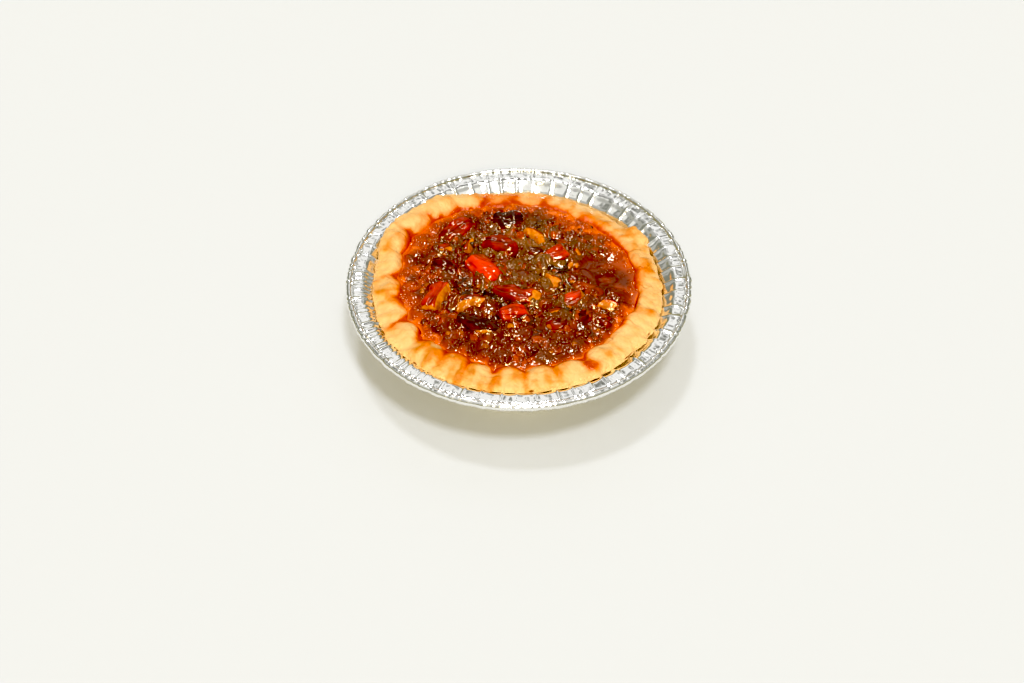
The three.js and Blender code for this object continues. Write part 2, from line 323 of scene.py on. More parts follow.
def make_piece(name, points, faces, material, slot, nodes=(), values=None):
    """A smooth mesh that rides on the body, stands for CAD nodes and holds values for its material."""
    mesh = bpy.data.meshes.new(name)
    mesh.from_pydata(np.asarray(points).tolist(), [], faces)
    for label, numbers in (values or {}).items():
        layer = mesh.attributes.new(label, "FLOAT", "POINT")
        layer.data.foreach_set("value", np.asarray(numbers, np.float32))
    mesh.shade_smooth()
    mesh.materials.append(material)
    piece = bpy.data.objects.new(name, mesh)
    bpy.context.scene.collection.objects.link(piece)
    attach(piece, BODY)
    if nodes:
        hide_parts(*nodes)
    return piece


# Settings that a user would change

TIN_LOW, TIN_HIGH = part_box("foil_tin")


class TinSettings(bpy.types.PropertyGroup):
    """Sizes and colour of the foil tin."""
    rim_radius: length("Rim radius", "Outside of the rolled rim", (TIN_HIGH.x - TIN_LOW.x) / 2)
    height: length("Height", "From the underside to the top of the roll", TIN_HIGH.z)
    base_radius: length("Base radius", "Outside of the base, at the foot of the wall", 26 * MM)
    base_corner: length("Base corner", "Size of the corner between base and wall", 1.2 * MM)
    foil: length("Foil", "Thickness of the foil", 0.12 * MM)
    bead_width: length("Roll width", "Width of the rolled rim", 1.25 * MM)
    bead_height: length("Roll height", "Height of the rolled rim", 2 * MM)
    bead_rise: length("Roll rise", "How far the roll stands above the flange", 0.6 * MM)
    flange_width: length("Flange width", "Flat ring inside the roll", 2.3 * MM)
    groove: length("Groove", "Depth of the groove between flange and roll", 0.3 * MM)
    shoulder_width: length("Shoulder width", "Sloping step from wall to flange", 2.85 * MM)
    shoulder_drop: length("Shoulder drop", "Depth of that step", 1.8 * MM)
    front_flange: length("Front flange", "How much wider the flange is at the front", 0.3 * MM)
    pleat_depth: length("Pleat depth", "How far a pleat stands out at the top of the wall", 0.42 * MM)
    crease_depth: length("Crease depth", "Depth of the sharp crease between two pleats", 0.2 * MM)
    crease_width: length("Crease width", "Half width of that crease", 0.34 * MM)
    tick_depth: length("Tick depth", "Depth of the fine ticks of the roll", 0.13 * MM)
    tick_pitch: length("Tick pitch", "Spacing of those ticks", 0.7 * MM)
    pleats: IntProperty(name="Pleats", description="Pleats round the wall", default=56, min=8)
    foil_colour: colour("Foil colour", "Bare aluminium", "#f3f2ee")


class CrustSettings(bpy.types.PropertyGroup):
    """Sizes and colours of the pastry crust."""
    shift_x: length("Shift X", "How far the tart sits off the tin's middle, along X", -0.7 * MM)
    shift_y: length("Shift Y", "How far the tart sits off the tin's middle, along Y", -0.4 * MM)
    bottom: length("Bottom", "Height of the underside", 0.6 * MM)
    base_radius: length("Base radius", "Outside of the underside", 25.2 * MM)
    lip_radius: length("Lip radius", "Outside of the edge", 33.6 * MM)
    lip_height: length("Lip height", "Height of the outside of the edge", 14.6 * MM)
    crest_radius: length("Crest radius", "Radius of the top of the crimps", 28.8 * MM)
    crest_height: length("Crest height", "Top of the crimps", 17.0 * MM)
    waterline_radius: length("Caramel radius", "Where the caramel meets a crimp", 26.7 * MM)
    waterline_height: length("Caramel height", "Height of the caramel's edge", 15.8 * MM)
    floor_radius: length("Floor radius", "Inside radius at the floor", 22.6 * MM)
    floor_height: length("Floor height", "Top of the pastry floor", 4.2 * MM)
    notch_depth: length("Notch depth", "How far a notch dips below the crest", 0.9 * MM)
    notch_reach: length("Notch reach", "How far a notch draws the inside edge out", 1.7 * MM)
    tab_reach: length("Tab reach", "How far the torn tab of the lip sticks out", 1.0 * MM)
    tab_rise: length("Tab rise", "How far that tab stands up", 1.1 * MM)
    shaded: colour("Shaded pastry", "Outside that the tin kept pale", "#caa26c")
    # Pale pastry, which the crimp tops lean towards partly through a painted highlight
    pale: colour("Pale pastry", "Tops of the crimps", "#c8985e")
    golden: colour("Golden pastry", "Baked pastry", "#bf823b")
    # Browned pastry, which the notches and cracks lean towards partly through painted shade
    brown: colour("Browned pastry", "Edges and hollows that took more heat", "#b06a22")
    # Painted shade for the gaps under the lip and for the cracks
    gap: colour("Gaps", "Hollows under the lip, and cracks", "#6e3a14")
    stain: colour("Caramel stain", "Pastry soaked with caramel", "#c8600f")
    deep_stain: colour("Deep stain", "Thick caramel on the pastry", "#9c3408")


class FillingSettings(bpy.types.PropertyGroup):
    """Sizes and colours of the caramel filling."""
    crown: length("Crown", "How far the middle stands above the edge", 0.7 * MM)
    bottom: length("Bottom", "Underside of the caramel", 4.3 * MM)
    bite: length("Bite", "How far the caramel's edge reaches into the pastry", 0.4 * MM)
    climb: length("Climb", "How far the caramel climbs up a nut", 0.8 * MM)
    dark: colour("Dark caramel", "Thick red-brown caramel", "#5e2005")
    # Painted shade for the low places between grains
    painted_hollow_shade: colour("Deep hollows", "Hollows between grains", "#2a0e04")
    crumbly: colour("Crumbly caramel", "Caramel full of fine nut crumbs", "#5c3a1e")
    golden: colour("Golden crumbs", "Fine crumbs near the top", "#825228")
    ember: colour("Thin caramel", "Red-orange caramel towards its edge", "#963a0e")
    edge: colour("Caramel edge", "Thinnest caramel, on the pastry", "#c25a13")


class PecanSettings(bpy.types.PropertyGroup):
    """Sizes and colours of the chopped pecans."""
    thickness: share("Thickness", "Thickness as a share of the width", 0.7)
    lift: length("Lift", "Middle of a piece above the caramel", 0.5 * MM)
    ridge: share("Ridges", "Depth of the long grooves as a share of the size", 0.16)
    ridges: IntProperty(name="Ridge count", description="Long ridges round a piece", default=5, min=2)
    fullness: share("Fullness", "Below 1 fills out the ends", 0.72)
    bright_skin: colour("Bright skin", "Lightest skin under its glaze", "#bc300c")
    red_skin: colour("Red skin", "Usual skin under its glaze", "#8c2208")
    dark_skin: colour("Dark skin", "Well baked skin", "#5c1608")
    burnt_skin: colour("Burnt skin", "Darkest skin", "#300c08")
    flesh: colour("Flesh", "Broken flesh", "#c67a30")
    deep_flesh: colour("Deep flesh", "Flesh soaked with caramel", "#ac5212")


class StageSettings(bpy.types.PropertyGroup):
    """Floor, light and camera."""
    floor_colour: colour("Floor", "Plain pale floor", "#b7bbc3")
    backdrop: colour("Backdrop", "What the camera sees past the floor", "#f1f2ed")
    black_point: share("Black point", "Light that the picture shows as black", 0.045)
    lens: FloatProperty(name="Lens", description="Focal length in millimetres", default=60, min=1)
    aim: FloatVectorProperty(
        name="Aim", description="Direction of view", default=(-0.00387, 0.69627, -0.71777),
        subtype="DIRECTION")
    camera_place: FloatVectorProperty(
        name="Camera", description="Place of the camera", default=(0, -0.28556, 0.29036),
        subtype="TRANSLATION")


class TartSettings(bpy.types.PropertyGroup):
    """All the settings of the tart."""
    tin: PointerProperty(name="Tin", description="Foil tin", type=TinSettings)
    crust: PointerProperty(name="Crust", description="Pastry crust", type=CrustSettings)
    filling: PointerProperty(name="Filling", description="Caramel filling", type=FillingSettings)
    pecans: PointerProperty(name="Pecans", description="Chopped pecans", type=PecanSettings)
    stage: PointerProperty(name="Stage", description="Floor, light and camera", type=StageSettings)


# Foil tin

# Rolled rim from the flange over its sloping top to the tucked end: shares of the roll's width outwards and
# of its height up
ROLL_SHAPE = [
    (0, 0.7), (0.12, 0.85), (0.28, 0.96), (0.4, 0.95), (0.75, 0.82), (0.92, 0.73),
    (0.98, 0.55), (0.93, 0.3), (0.72, 0.1), (0.45, 0.03), (0.2, 0.08), (0.12, 0.26),
]

# Stamped ring of the base: its inside and outside, and how far the middle stands up
BASE_RING = (16.6 * MM, 17.4 * MM, 0.3 * MM)

# Soft dents of the foil: height and pitch in millimetres, and seed
FOIL_DENTS = [(0.12, 2.4, 22), (0.05, 1.1, 23)]

# Where the pleats stand three times as close, from one angle to another in degrees
CROWDED_PLEATS = (174, 236)

# Rows of the outline that each face of the foil runs between, and the steps there
OUTSIDE_SPANS = [
    (0, 1, 2), (1, 2, 2), (2, 3, 2), (3, 4, 3), (4, 5, 10), (5, 6, 4), (6, 9, 4), (9, 10, 3), (10, 11, 1),
    (11, 23, 8),
]
INSIDE_SPANS = [
    (0, 3, 2), (3, 4, 1), (4, 5, 2), (5, 6, 5), (6, 7, 6), (7, 8, 5), (8, 9, 4), (9, 10, 6), (10, 11, 3),
    (11, 23, 20),
]
FOIL_ROUNDING = 0.14 * MM
COLUMNS_PER_PLEAT = 18


def foil_outline(tin):
    """Middle of the foil from the base to the tucked end of the roll.

    Each row is a radius and a height, then the weights there of the pleats, the creases, the ticks of the
    roll and the wider flange at the front.
    """
    low = tin.foil / 2
    ring_inside, ring_outside, stamped = BASE_RING
    flange_height = tin.height - tin.bead_rise
    flange_radius = tin.rim_radius - tin.bead_width - tin.flange_width
    wall_radius = flange_radius - tin.shoulder_width
    wall_height = flange_height - tin.shoulder_drop
    upper = 0.8
    upper_radius = tin.base_radius + upper * (wall_radius - tin.base_radius)
    upper_height = tin.base_corner + upper * (wall_height - tin.base_corner)
    groove_radius = tin.rim_radius - tin.bead_width - 0.1 * MM
    rows = [
        (HUB, stamped, 0, 0, 0, 0),
        (ring_inside, stamped, 0, 0, 0, 0),
        (ring_outside, low, 0, 0, 0, 0),
        (tin.base_radius - tin.base_corner, low, 0, 0, 0, 0),
        (tin.base_radius, tin.base_corner, 0.12, 0.3, 0, 0),
        (upper_radius, upper_height, 0.8, 0.9, 0, 0),
        (wall_radius, wall_height, 0.9, 1, 0, 0),
        ((wall_radius + flange_radius) / 2, (wall_height + flange_height) / 2, 0.8, 1, 0, 0.6),
        (flange_radius - 0.7 * MM, flange_height - 0.27 * MM, 0.5, 1, 0, 0.9),
        (flange_radius, flange_height, 0.2, 1, 0.1, 1),
        (groove_radius - 0.35 * MM, flange_height, 0.12, 0.8, 0.5, 0),
        (groove_radius, flange_height - tin.groove, 0.1, 0.4, 2.2, 0),
    ]
    for across, rise in ROLL_SHAPE:
        radius = tin.rim_radius - tin.bead_width * (1 - across)
        rows.append((radius, tin.height - tin.bead_height * (1 - rise), 0.03, 0.12, 0.8, 0))
    return rows


def foil_level(tin, radius):
    """Height of the middle of the foil at each radius inside the roll, without pleats, creases and dents."""
    rows = [row for row in foil_outline(tin) if row[0] < tin.rim_radius - tin.bead_width - 0.2 * MM]
    return np.interp(radius, [row[0] for row in rows], [row[1] for row in rows])


def pleat_relief(tin, angles):
    """How far pleats push the foil out at each angle, and how strong the crease between two of them is."""
    draw = np.random.default_rng(5)
    pitch = FULL_TURN / tin.pleats
    creases = (np.arange(tin.pleats) + draw.uniform(-0.2, 0.2, tin.pleats)) * pitch
    start, end = np.radians(CROWDED_PLEATS)
    crowded = creases[(creases > start) & (creases < end)]
    creases = np.sort(np.concatenate([creases, crowded + 0.34 * pitch, crowded + 0.67 * pitch]))
    widths = np.diff(np.append(creases, creases[0] + FULL_TURN))
    around = (angles - creases[0]) % FULL_TURN + creases[0]
    index = np.searchsorted(creases, around, side="right") - 1
    across = (around - creases[index]) / widths[index]
    room = np.minimum(1, 0.3 + widths[index] / pitch)
    room = room * (1 - 0.6 * near_angle(angles, 90, 55, 25))
    fullness = draw.uniform(0.6, 1.2, len(creases))[index] * room
    lean = draw.uniform(-0.5, 0.5, len(creases))[index] * room
    pleat = fullness * ((4 * across * (1 - across)) ** 0.7 - 0.45) + lean * (across - 0.5)
    nearest = np.where(across < 0.5, index, (index + 1) % len(creases))
    strength = draw.uniform(0.1, 1.2, len(creases))[nearest]
    away = np.minimum(across, 1 - across) * widths[index] * tin.rim_radius
    return pleat, strength * np.exp(-(away / tin.crease_width) ** 2)


def foil_side(tin, path, side, angles):
    """One face of the foil as rings of points. side is 1 for outside and underside, -1 for the inside."""
    tangent = np.gradient(path[:, :2], axis=0)
    tangent /= np.linalg.norm(tangent, axis=1, keepdims=True)
    out, up = tangent[:, 1, None], -tangent[:, 0, None]
    radius, height, pleated, creased, ticked, widened = (path[:, column, None] for column in range(6))
    pleat, crease = pleat_relief(tin, angles)
    fine_ticks = lumps(turned(tin.rim_radius, angles, 0), tin.tick_pitch, 21)
    sides = near_angle(angles, 0, 75, 40) + near_angle(angles, 180, 75, 40)
    ticks = np.sign(fine_ticks) * np.abs(fine_ticks) ** 0.6 * (0.6 + 0.4 * sides)
    dents = layered(turned(radius, angles, height), FOIL_DENTS)
    shift = side * tin.foil / 2 + dents * smoothstep(0.4 * MM, 4 * MM, height)
    shift = shift + tin.pleat_depth * pleated * pleat
    shift = shift - tin.crease_depth * creased * crease + tin.tick_depth * ticked * ticks
    radius = radius - tin.front_flange * widened * near_angle(angles, 270, 70, 30)
    return turned(radius + out * shift, angles, height + up * shift)


def rolled_aluminium_foil(tin):
    """Aluminium foil, rolled and pressed in a die: bright metal whose dents break up what it mirrors."""
    material, tree, place = new_material("rolled_aluminium_foil")
    dents = add_node(tree, "TexNoise", {"Vector": place, "Scale": 1 / (1.3 * MM), "Detail": 3.0})
    along = add_node(tree, "Mapping", {"Vector": place, "Scale": (1, 0.05, 1)})
    streaks = add_node(tree, "TexNoise", {"Vector": along, "Scale": 1 / (0.3 * MM), "Detail": 2.0})
    roughness = add_node(tree, "MapRange", {"Value": streaks, 1: 0.3, 2: 0.7, 3: 0.1, 4: 0.17})
    soft = add_node(tree, "Bump", {"Height": dents, "Strength": 1.0, "Distance": 0.04 * MM})
    shader = add_node(tree, "BsdfPrincipled", {
        "Base Color": tin.foil_colour, "Metallic": 1.0, "Roughness": roughness, "Normal": soft})
    add_node(tree, "OutputMaterial", {"Surface": shader})
    return material


def make_foil_tin(tin):
    """Foil case with a stamped base, a pleated wall, a flange and a rolled rim, as one thin closed skin."""
    rows = foil_outline(tin)
    angles = even_angles(tin.pleats * COLUMNS_PER_PLEAT)
    outside = foil_side(tin, profile_path(rows, OUTSIDE_SPANS, FOIL_ROUNDING), 1, angles)
    inside = foil_side(tin, profile_path(rows, INSIDE_SPANS, FOIL_ROUNDING), -1, angles)
    points, faces = closed_rings(np.concatenate([outside, inside[::-1]]))
    make_piece("pleated_foil_tin", points, faces, rolled_aluminium_foil(tin), "foil", ["foil_tin"])


# Pastry crust

# Where crimps are pressed flat: how much, angle, reach and core in degrees
PRESSED_FLAT = [(0.7, 5, 80, 45), (0.5, 95, 45, 25), (0.35, 165, 45, 25)]
MOST_PRESSED = 0.7

# Broad, middling and fine unevenness of the pastry: pitch in millimetres, and seed
CRUST_LUMPS = [(3.4, 31), (1.4, 32), (0.55, 33)]

# Torn tab of the lip: angle, reach and core in degrees
TORN_TAB = (30, 7.5, 3)

# How far the pastry is kept above the middle of the plain foil
FOIL_GAP = 0.2 * MM

# Rows of the outline that the crust runs between, and the steps there
CRUST_SPANS = [
    (0, 1, 2), (1, 2, 2), (2, 3, 6), (3, 4, 10), (4, 5, 12), (5, 6, 13), (6, 7, 10), (7, 8, 12), (8, 9, 10),
    (9, 10, 6), (10, 11, 2), (11, 12, 2),
]
CRUST_ROUNDING = 0.35 * MM
COLUMNS_PER_CRIMP = 40


def crimp_places(angles):
    """For each angle, which crimp it lies on and how far across, from 0 at one notch to 1 at the next."""
    widths = np.radians(np.array(CRIMPS) * 360 / sum(CRIMPS))
    notches = math.radians(FIRST_NOTCH) + np.concatenate([[0], np.cumsum(widths)[:-1]])
    around = (angles - notches[0]) % FULL_TURN + notches[0]
    index = np.searchsorted(notches, around, side="right") - 1
    return index, (around - notches[index]) / widths[index]


def nearest_notch(index, across):
    """The notch that each place on a crimp lies nearest to."""
    return np.where(across < 0.5, index, (index + 1) % len(CRIMPS))


def notch_relief(angles):
    """How much of a notch each angle is: 1 in the notch between two crimps, 0 on the pillow of one."""
    draw = np.random.default_rng(11)
    index, across = crimp_places(angles)
    depth = draw.uniform(0.55, 1.1, len(CRIMPS))
    sharpness = draw.uniform(0.6, 1.1, len(CRIMPS))[index]
    softness = 0.12
    pillow = np.sqrt(np.sin(np.pi * across) ** 2 + softness ** 2) ** sharpness
    crease = draw.uniform(-0.3, 0.3, len(CRIMPS))[index]
    crease_place, crease_width = draw.uniform(0.3, 0.7, len(CRIMPS))[index], 0.09
    creased = np.maximum(crease, 0) * np.exp(-((across - crease_place) / crease_width) ** 2)
    pressed = sum(part * near_angle(angles, *place) for part, *place in PRESSED_FLAT)
    notch = np.maximum(depth[nearest_notch(index, across)] * (1 - np.minimum(pillow, 1)), creased)
    return notch * (1 - np.minimum(pressed, MOST_PRESSED))


def crust_outline(crust):
    """Outline of the crust from the middle of its underside to the middle of its floor.

    Each row is a radius and a height, how far a notch moves it out and up, and how far it is along the
    edge: 0 at the lip, 1 at the crest and 2 at the caramel.
    """
    lip, top = crust.lip_radius, crust.lip_height
    crest, peak = crust.crest_radius, crust.crest_height
    depth, reach = crust.notch_depth, crust.notch_reach
    return [
        (HUB, crust.bottom, 0, 0, -1),
        (crust.base_radius - 1.3 * MM, crust.bottom, 0, 0, -1),
        (crust.base_radius, crust.bottom + 1.1 * MM, 0, 0, -1),
        (lip - 0.5 * MM, top - 1.3 * MM, 0, 0, -0.35),
        (lip, top, -0.1 * MM, 0, 0),
        (lip - 0.7 * MM, top + 1.2 * MM, 0, -0.15 * depth, 0.33),
        (crest + 1.8 * MM, peak - 0.4 * MM, 0.13 * reach, -0.45 * depth, 0.67),
        (crest, peak, 0.6 * reach, -depth, 1),
        (crest - 1.4 * MM, peak - 0.55 * MM, 0.87 * reach, -0.9 * depth, 1.5),
        (crust.waterline_radius, crust.waterline_height, reach, 0, 2),
        (crust.floor_radius, crust.floor_height + 0.8 * MM, 0, 0, 4),
        (crust.floor_radius - 1.2 * MM, crust.floor_height, 0, 0, 4),
        (HUB, crust.floor_height, 0, 0, 4),
    ]


def edge_drift(angles, edge):
    """How far out and up the crust's edge stands off its round outline, by angle and place along it."""
    places = (-0.5, 0, 1, 2, 4)
    out, up = 0, 0
    for degrees, reach, core, outward, upward in EDGE_DRIFT:
        near = near_angle(angles, degrees, reach, core) * MM
        out = out + near * np.interp(edge, places, (0, *outward, 0))
        up = up + near * np.interp(edge, places, (0, *upward, 0))
    return out, up


def lip_marks(edge, angles, lip_radius, noise):
    """Where the lip has come away in short ragged gaps, from 0 to 1."""
    marks = np.zeros(np.broadcast(edge, angles).shape)
    draw = np.random.default_rng(14)
    for degrees, size in LIP_GAPS:
        along = np.abs(angle_gap(angles, degrees)) * lip_radius / (0.5 * size * MM)
        place, half_width = draw.uniform(0.02, 0.12), draw.uniform(0.05, 0.09)
        across = (edge - place - 0.08 * noise) / half_width
        marks = np.maximum(marks, smoothstep(1.1, 0.5, np.hypot(along + 0.3 * noise, across)))
    return marks


def crack_marks(edge, angles, wander, radius):
    """Fine cracks that run across the crimped edge, from 0 to 1."""
    marks = np.zeros(np.broadcast(edge, angles).shape)
    half_width = 0.17 * MM
    for degrees, start, end in CRUST_CRACKS:
        across = angle_gap(angles, degrees) * radius + wander
        ends = smoothstep(start - 0.25, start + 0.25, edge) * smoothstep(end + 0.15, end - 0.15, edge)
        marks = np.maximum(marks, ends * np.exp(-(across / half_width) ** 2))
    return marks


def crust_stain(edge, notch, angles, noise):
    """How far caramel has soaked in: along the inside, up the notches, and over the edge at the back."""
    draw = np.random.default_rng(12)
    nearest = nearest_notch(*crimp_places(angles))
    finger = draw.uniform(0.35, 1.0, len(CRIMPS))[nearest] * np.minimum(notch * 1.5, 1) ** 1.5
    boiled_over = near_angle(angles, 88, 32, 10)
    right_edge = near_angle(angles, 12, 50, 20)
    reached = edge + 1.4 * finger + 0.5 * boiled_over + 0.3 * right_edge + 0.4 * noise
    return smoothstep(0.8, 2.25, reached) * smoothstep(0.1, 0.6, edge)


def baked_shortcrust(crust):
    """Shortcrust pastry, pressed by hand and baked: matt and finely crumbly, darker where heat got at it,
    with painted shade in the notches, the lip's gaps and the cracks, and a painted highlight on the crimp
    tops.
    """
    material, tree, place = new_material("baked_shortcrust_pastry")
    toast, stain, gap = point_values(tree, "toast", "stain", "gap")
    crumb = add_node(tree, "TexNoise", {"Vector": place, "Scale": 1 / (0.6 * MM), "Detail": 3.0})
    mottle = add_node(tree, "TexNoise", {"Vector": place, "Scale": 1 / (2.6 * MM), "Detail": 4.0})
    grained = add_node(tree, "Math", {0: crumb, 1: 0.3, 2: toast}, operation="MULTIPLY_ADD")
    baked = add_node(tree, "Math", {0: mottle, 1: 0.8, 2: grained}, operation="MULTIPLY_ADD")
    pastry = add_node(tree, "ValToRGB", {"Fac": baked}, stops=[
        (0.2, crust.shaded), (0.55, crust.pale), (0.8, crust.golden), (1.0, crust.brown)])
    ragged = add_node(tree, "Math", {0: crumb, 1: 0.25, 2: stain}, operation="MULTIPLY_ADD")
    soaked = add_node(tree, "MapRange", {"Value": ragged, 1: 0.15, 2: 0.9})
    thick = add_node(tree, "MapRange", {"Value": ragged, 1: 0.6, 2: 1.05})
    stained = add_node(tree, "Mix", {0: thick, 6: crust.stain, 7: crust.deep_stain}, 2, data_type="RGBA")
    coloured = add_node(tree, "Mix", {0: soaked, 6: pastry, 7: stained}, 2, data_type="RGBA")
    # Painted shade over the lip's gaps and the cracks
    with_gap_shade = add_node(tree, "Mix", {0: gap, 6: coloured, 7: crust.gap}, 2, data_type="RGBA")
    roughness = add_node(tree, "MapRange", {"Value": soaked, 3: 0.5, 4: 0.32})
    bump = add_node(tree, "Bump", {"Height": crumb, "Strength": 0.8, "Distance": 0.12 * MM})
    shader = add_node(tree, "BsdfPrincipled", {
        "Base Color": with_gap_shade, "Roughness": roughness, "IOR": 1.45, "Specular Tint": WARM_GLINT,
        "Normal": bump})
    add_node(tree, "OutputMaterial", {"Surface": shader})
    return material


def near_crest(edge):
    """1 round the crest of the crust's edge, 0 at its lip and at the caramel."""
    return smoothstep(0.1, 0.8, edge) * smoothstep(2.2, 1.2, edge)


def crimped_crust(crust, path, angles):
    """Points of the crust before its fine unevenness, with notch, pillow and leaning angle at each."""
    edge = path[:, 4, None]
    plain = turned(path[:, 0, None], angles, path[:, 1, None])
    draw = np.random.default_rng(13)
    index, across = crimp_places(angles)
    lean = draw.uniform(-0.05, 0.05, len(CRIMPS))[index] * (np.clip(edge, 0, 2) - 1.5)
    wander = 0.6 * MM / crust.crest_radius * lumps(plain, 3.2 * MM, 35)
    leaning = angles + wander + lean * np.sin(np.pi * across)
    notch = notch_relief(leaning)
    pillow = np.sin(np.pi * across) ** 0.7
    taller = draw.uniform(-0.2, 0.25, len(CRIMPS))[index] * pillow * MM
    fuller = draw.uniform(-0.45, 0.45, len(CRIMPS))[index] * pillow * MM
    inner_side = smoothstep(0.8, 1.7, edge) * smoothstep(3, 2, edge)
    outer_side = smoothstep(-0.4, 0, edge) * smoothstep(1, 0.3, edge)
    out, up = edge_drift(angles, edge)
    uneven = 0.3 * MM * lumps(turned(crust.lip_radius, angles, 0), 8 * MM, 36) * outer_side
    tab = near_angle(angles, *TORN_TAB) * smoothstep(-0.3, 0, edge) * smoothstep(0.7, 0.25, edge)
    radius = path[:, 0, None] + path[:, 2, None] * notch - fuller * inner_side
    radius = radius + uneven + out + crust.tab_reach * tab
    height = path[:, 1, None] + path[:, 3, None] * notch + taller * near_crest(edge)
    height = height + up + crust.tab_rise * tab
    return turned(radius, angles, height), notch, pillow, leaning


def make_pastry_crust(tart):
    """Pastry shell, its edge pinched into pillows, with a torn tab, gaps under its lip and fine cracks."""
    crust = tart.crust
    path = profile_path(crust_outline(crust), CRUST_SPANS, CRUST_ROUNDING)
    angles = even_angles(COLUMNS_PER_CRIMP * len(CRIMPS))
    edge = path[:, 4, None]
    grid, notch, pillow, leaning = crimped_crust(crust, path, angles)
    broad, middling, fine = (lumps(grid, pitch * MM, seed) for pitch, seed in CRUST_LUMPS)
    streaks = lumps(turned(crust.crest_radius, angles, edge * 0.6 * MM), 1.1 * MM, 37)
    marks = lip_marks(edge, angles, crust.lip_radius, middling)
    cracks = crack_marks(edge, angles, 0.6 * MM * lumps(grid, 1.5 * MM, 34), crust.crest_radius)
    on_edge = smoothstep(-0.4, 0.2, edge) * smoothstep(3, 2, edge)
    ragged_lip = smoothstep(0.5, 0.05, np.abs(edge - 0.1))
    relief = on_edge * (0.3 * broad + 0.16 * middling + 0.06 * fine + 0.1 * streaks)
    relief = relief + ragged_lip * (0.18 * middling + 0.09 * fine) - 0.4 * marks - 0.2 * cracks
    grid = grid + grid_normals(grid) * (relief * MM)[..., None]
    front = near_angle(angles, 270, 75, 25)
    # Bake colour with random mottling and streaks, plus painted shade down the notches and in the cracks,
    # and a painted highlight on the pillow tops by the crest
    toast = 0.2 + 0.22 * notch + 0.3 * broad + 0.18 * middling + (0.2 + 0.14 * front) * streaks
    toast = toast - 0.45 * smoothstep(0.6, 0.1, edge) + 0.15 * cracks - 0.15 * near_crest(edge) * pillow
    toast = toast - 0.35 * near_angle(angles, 138, 45, 20) - 0.25 * near_angle(angles, 315, 40, 20)
    stain = crust_stain(edge, notch, leaning, broad + 0.6 * middling)
    grid = grid + np.array([crust.shift_x, crust.shift_y, 0])
    resting = foil_level(tart.tin, np.hypot(grid[..., 0], grid[..., 1])) + FOIL_GAP
    grid[..., 2] = np.maximum(grid[..., 2], resting)
    points, faces = closed_rings(grid)
    # Painted shade in the lip's gaps, and half as strong in the cracks
    values = with_ends({"toast": toast, "stain": stain, "gap": np.maximum(marks, 0.5 * cracks)})
    make_piece(
        "baked_pastry_crust", points, faces, baked_shortcrust(crust), "pastry", ["pastry_crust"], values)


# Caramel filling

# Points across the top of the caramel
CARAMEL_POINTS = 298

# Underside of the caramel, level by level: shares of its edge's radius and of its height
CARAMEL_LEVELS = [(0.97, 0.75), (0.9, 0.3), (0.82, 0.06), (0.78, 0)]

# Smooth pool: middle x and y, and half size along x and y
POOL = (20.5 * MM, 2.5 * MM, 7.5 * MM, 6 * MM)

# Swells of the caramel, and its finer unevenness, least in the pool: height and pitch in millimetres, and
# seed
CARAMEL_SWELLS = [(0.25, 6.5, 41)]
CARAMEL_UNEVENNESS = [(0.22, 2.6, 42), (0.07, 0.9, 43)]

# Grains, crumbs and bubbles: how many are tried, smallest and largest radius, and seed
GRAINS = (1100, 0.9 * MM, 2.6 * MM, 47)
CRUMBS = (1700, 0.35 * MM, 0.8 * MM, 45)
BUBBLES = (3400, 0.22 * MM, 0.62 * MM, 61)
BUBBLE_SIDES = 10
BUBBLE_RINGS = 4
BUBBLE_HEIGHT = 0.5


def off_middle(crust, x, y):
    """Place measured from the middle of the crust, which sits a little off the tin's middle."""
    return x - crust.shift_x, y - crust.shift_y


def caramel_crown(tart, x, y):
    """Height of the bare caramel, before grains and nuts."""
    out = np.minimum(1, np.hypot(*off_middle(tart.crust, x, y)) / tart.crust.waterline_radius)
    return tart.crust.waterline_height + tart.filling.crown * (1 - out ** 4)


def nut_distance(x, y):
    """Distance from each place to the outline of the nearest pecan piece, below 0 inside it."""
    nearest = np.full(np.shape(x), 1.0)
    for middle_x, middle_y, turn, size, width, *_ in PECANS:
        cos, sin = math.cos(math.radians(turn)), math.sin(math.radians(turn))
        off_x, off_y = x - middle_x * MM, y - middle_y * MM
        along = (off_x * cos + off_y * sin) / (size * MM / 2)
        across = (off_y * cos - off_x * sin) / (width * MM / 2)
        nearest = np.minimum(nearest, (np.hypot(along, across) - 1) * width * MM / 2)
    return nearest


def smooth_pool(x, y):
    """1 on the smooth pool of caramel towards the right, 0 away from it."""
    middle_x, middle_y, half_x, half_y = POOL
    return smoothstep(1.15, 0.7, np.hypot((x - middle_x) / half_x, (y - middle_y) / half_y))


def grain_places(tart, count, smallest, largest, seed):
    """Grains and bubbles set at random in the caramel, few of them in the smooth pool.

    Gives the x, y, radius, height, stretch, turn and tone of each.
    """
    crust = tart.crust
    draw = np.random.default_rng(seed)
    out = (crust.waterline_radius + 1.5 * MM) * np.sqrt(draw.uniform(0, 1, count))
    around = draw.uniform(0, FULL_TURN, count)
    x, y = out * np.cos(around) + crust.shift_x, out * np.sin(around) + crust.shift_y
    radius = smallest + (largest - smallest) * draw.uniform(0, 1, count) ** 1.6
    height = radius * draw.uniform(0.3, 0.46, count)
    stretch = draw.uniform(0.75, 1.35, count)
    turn = draw.uniform(0, math.pi, count)
    tone = draw.uniform(-1, 1, count)
    crowding = lumps(turned(out, around, 0), 5 * MM, seed) + 0.5 - 0.9 * smooth_pool(x, y)
    inside, _ = inside_edge(tart, x, y)
    kept = draw.uniform(-0.6, 0.9, count) < crowding
    kept &= (nut_distance(x, y) > -0.8 * MM) & (inside > 0.3 * MM)
    return [row[kept] for row in (x, y, radius, height, stretch, turn, tone)]


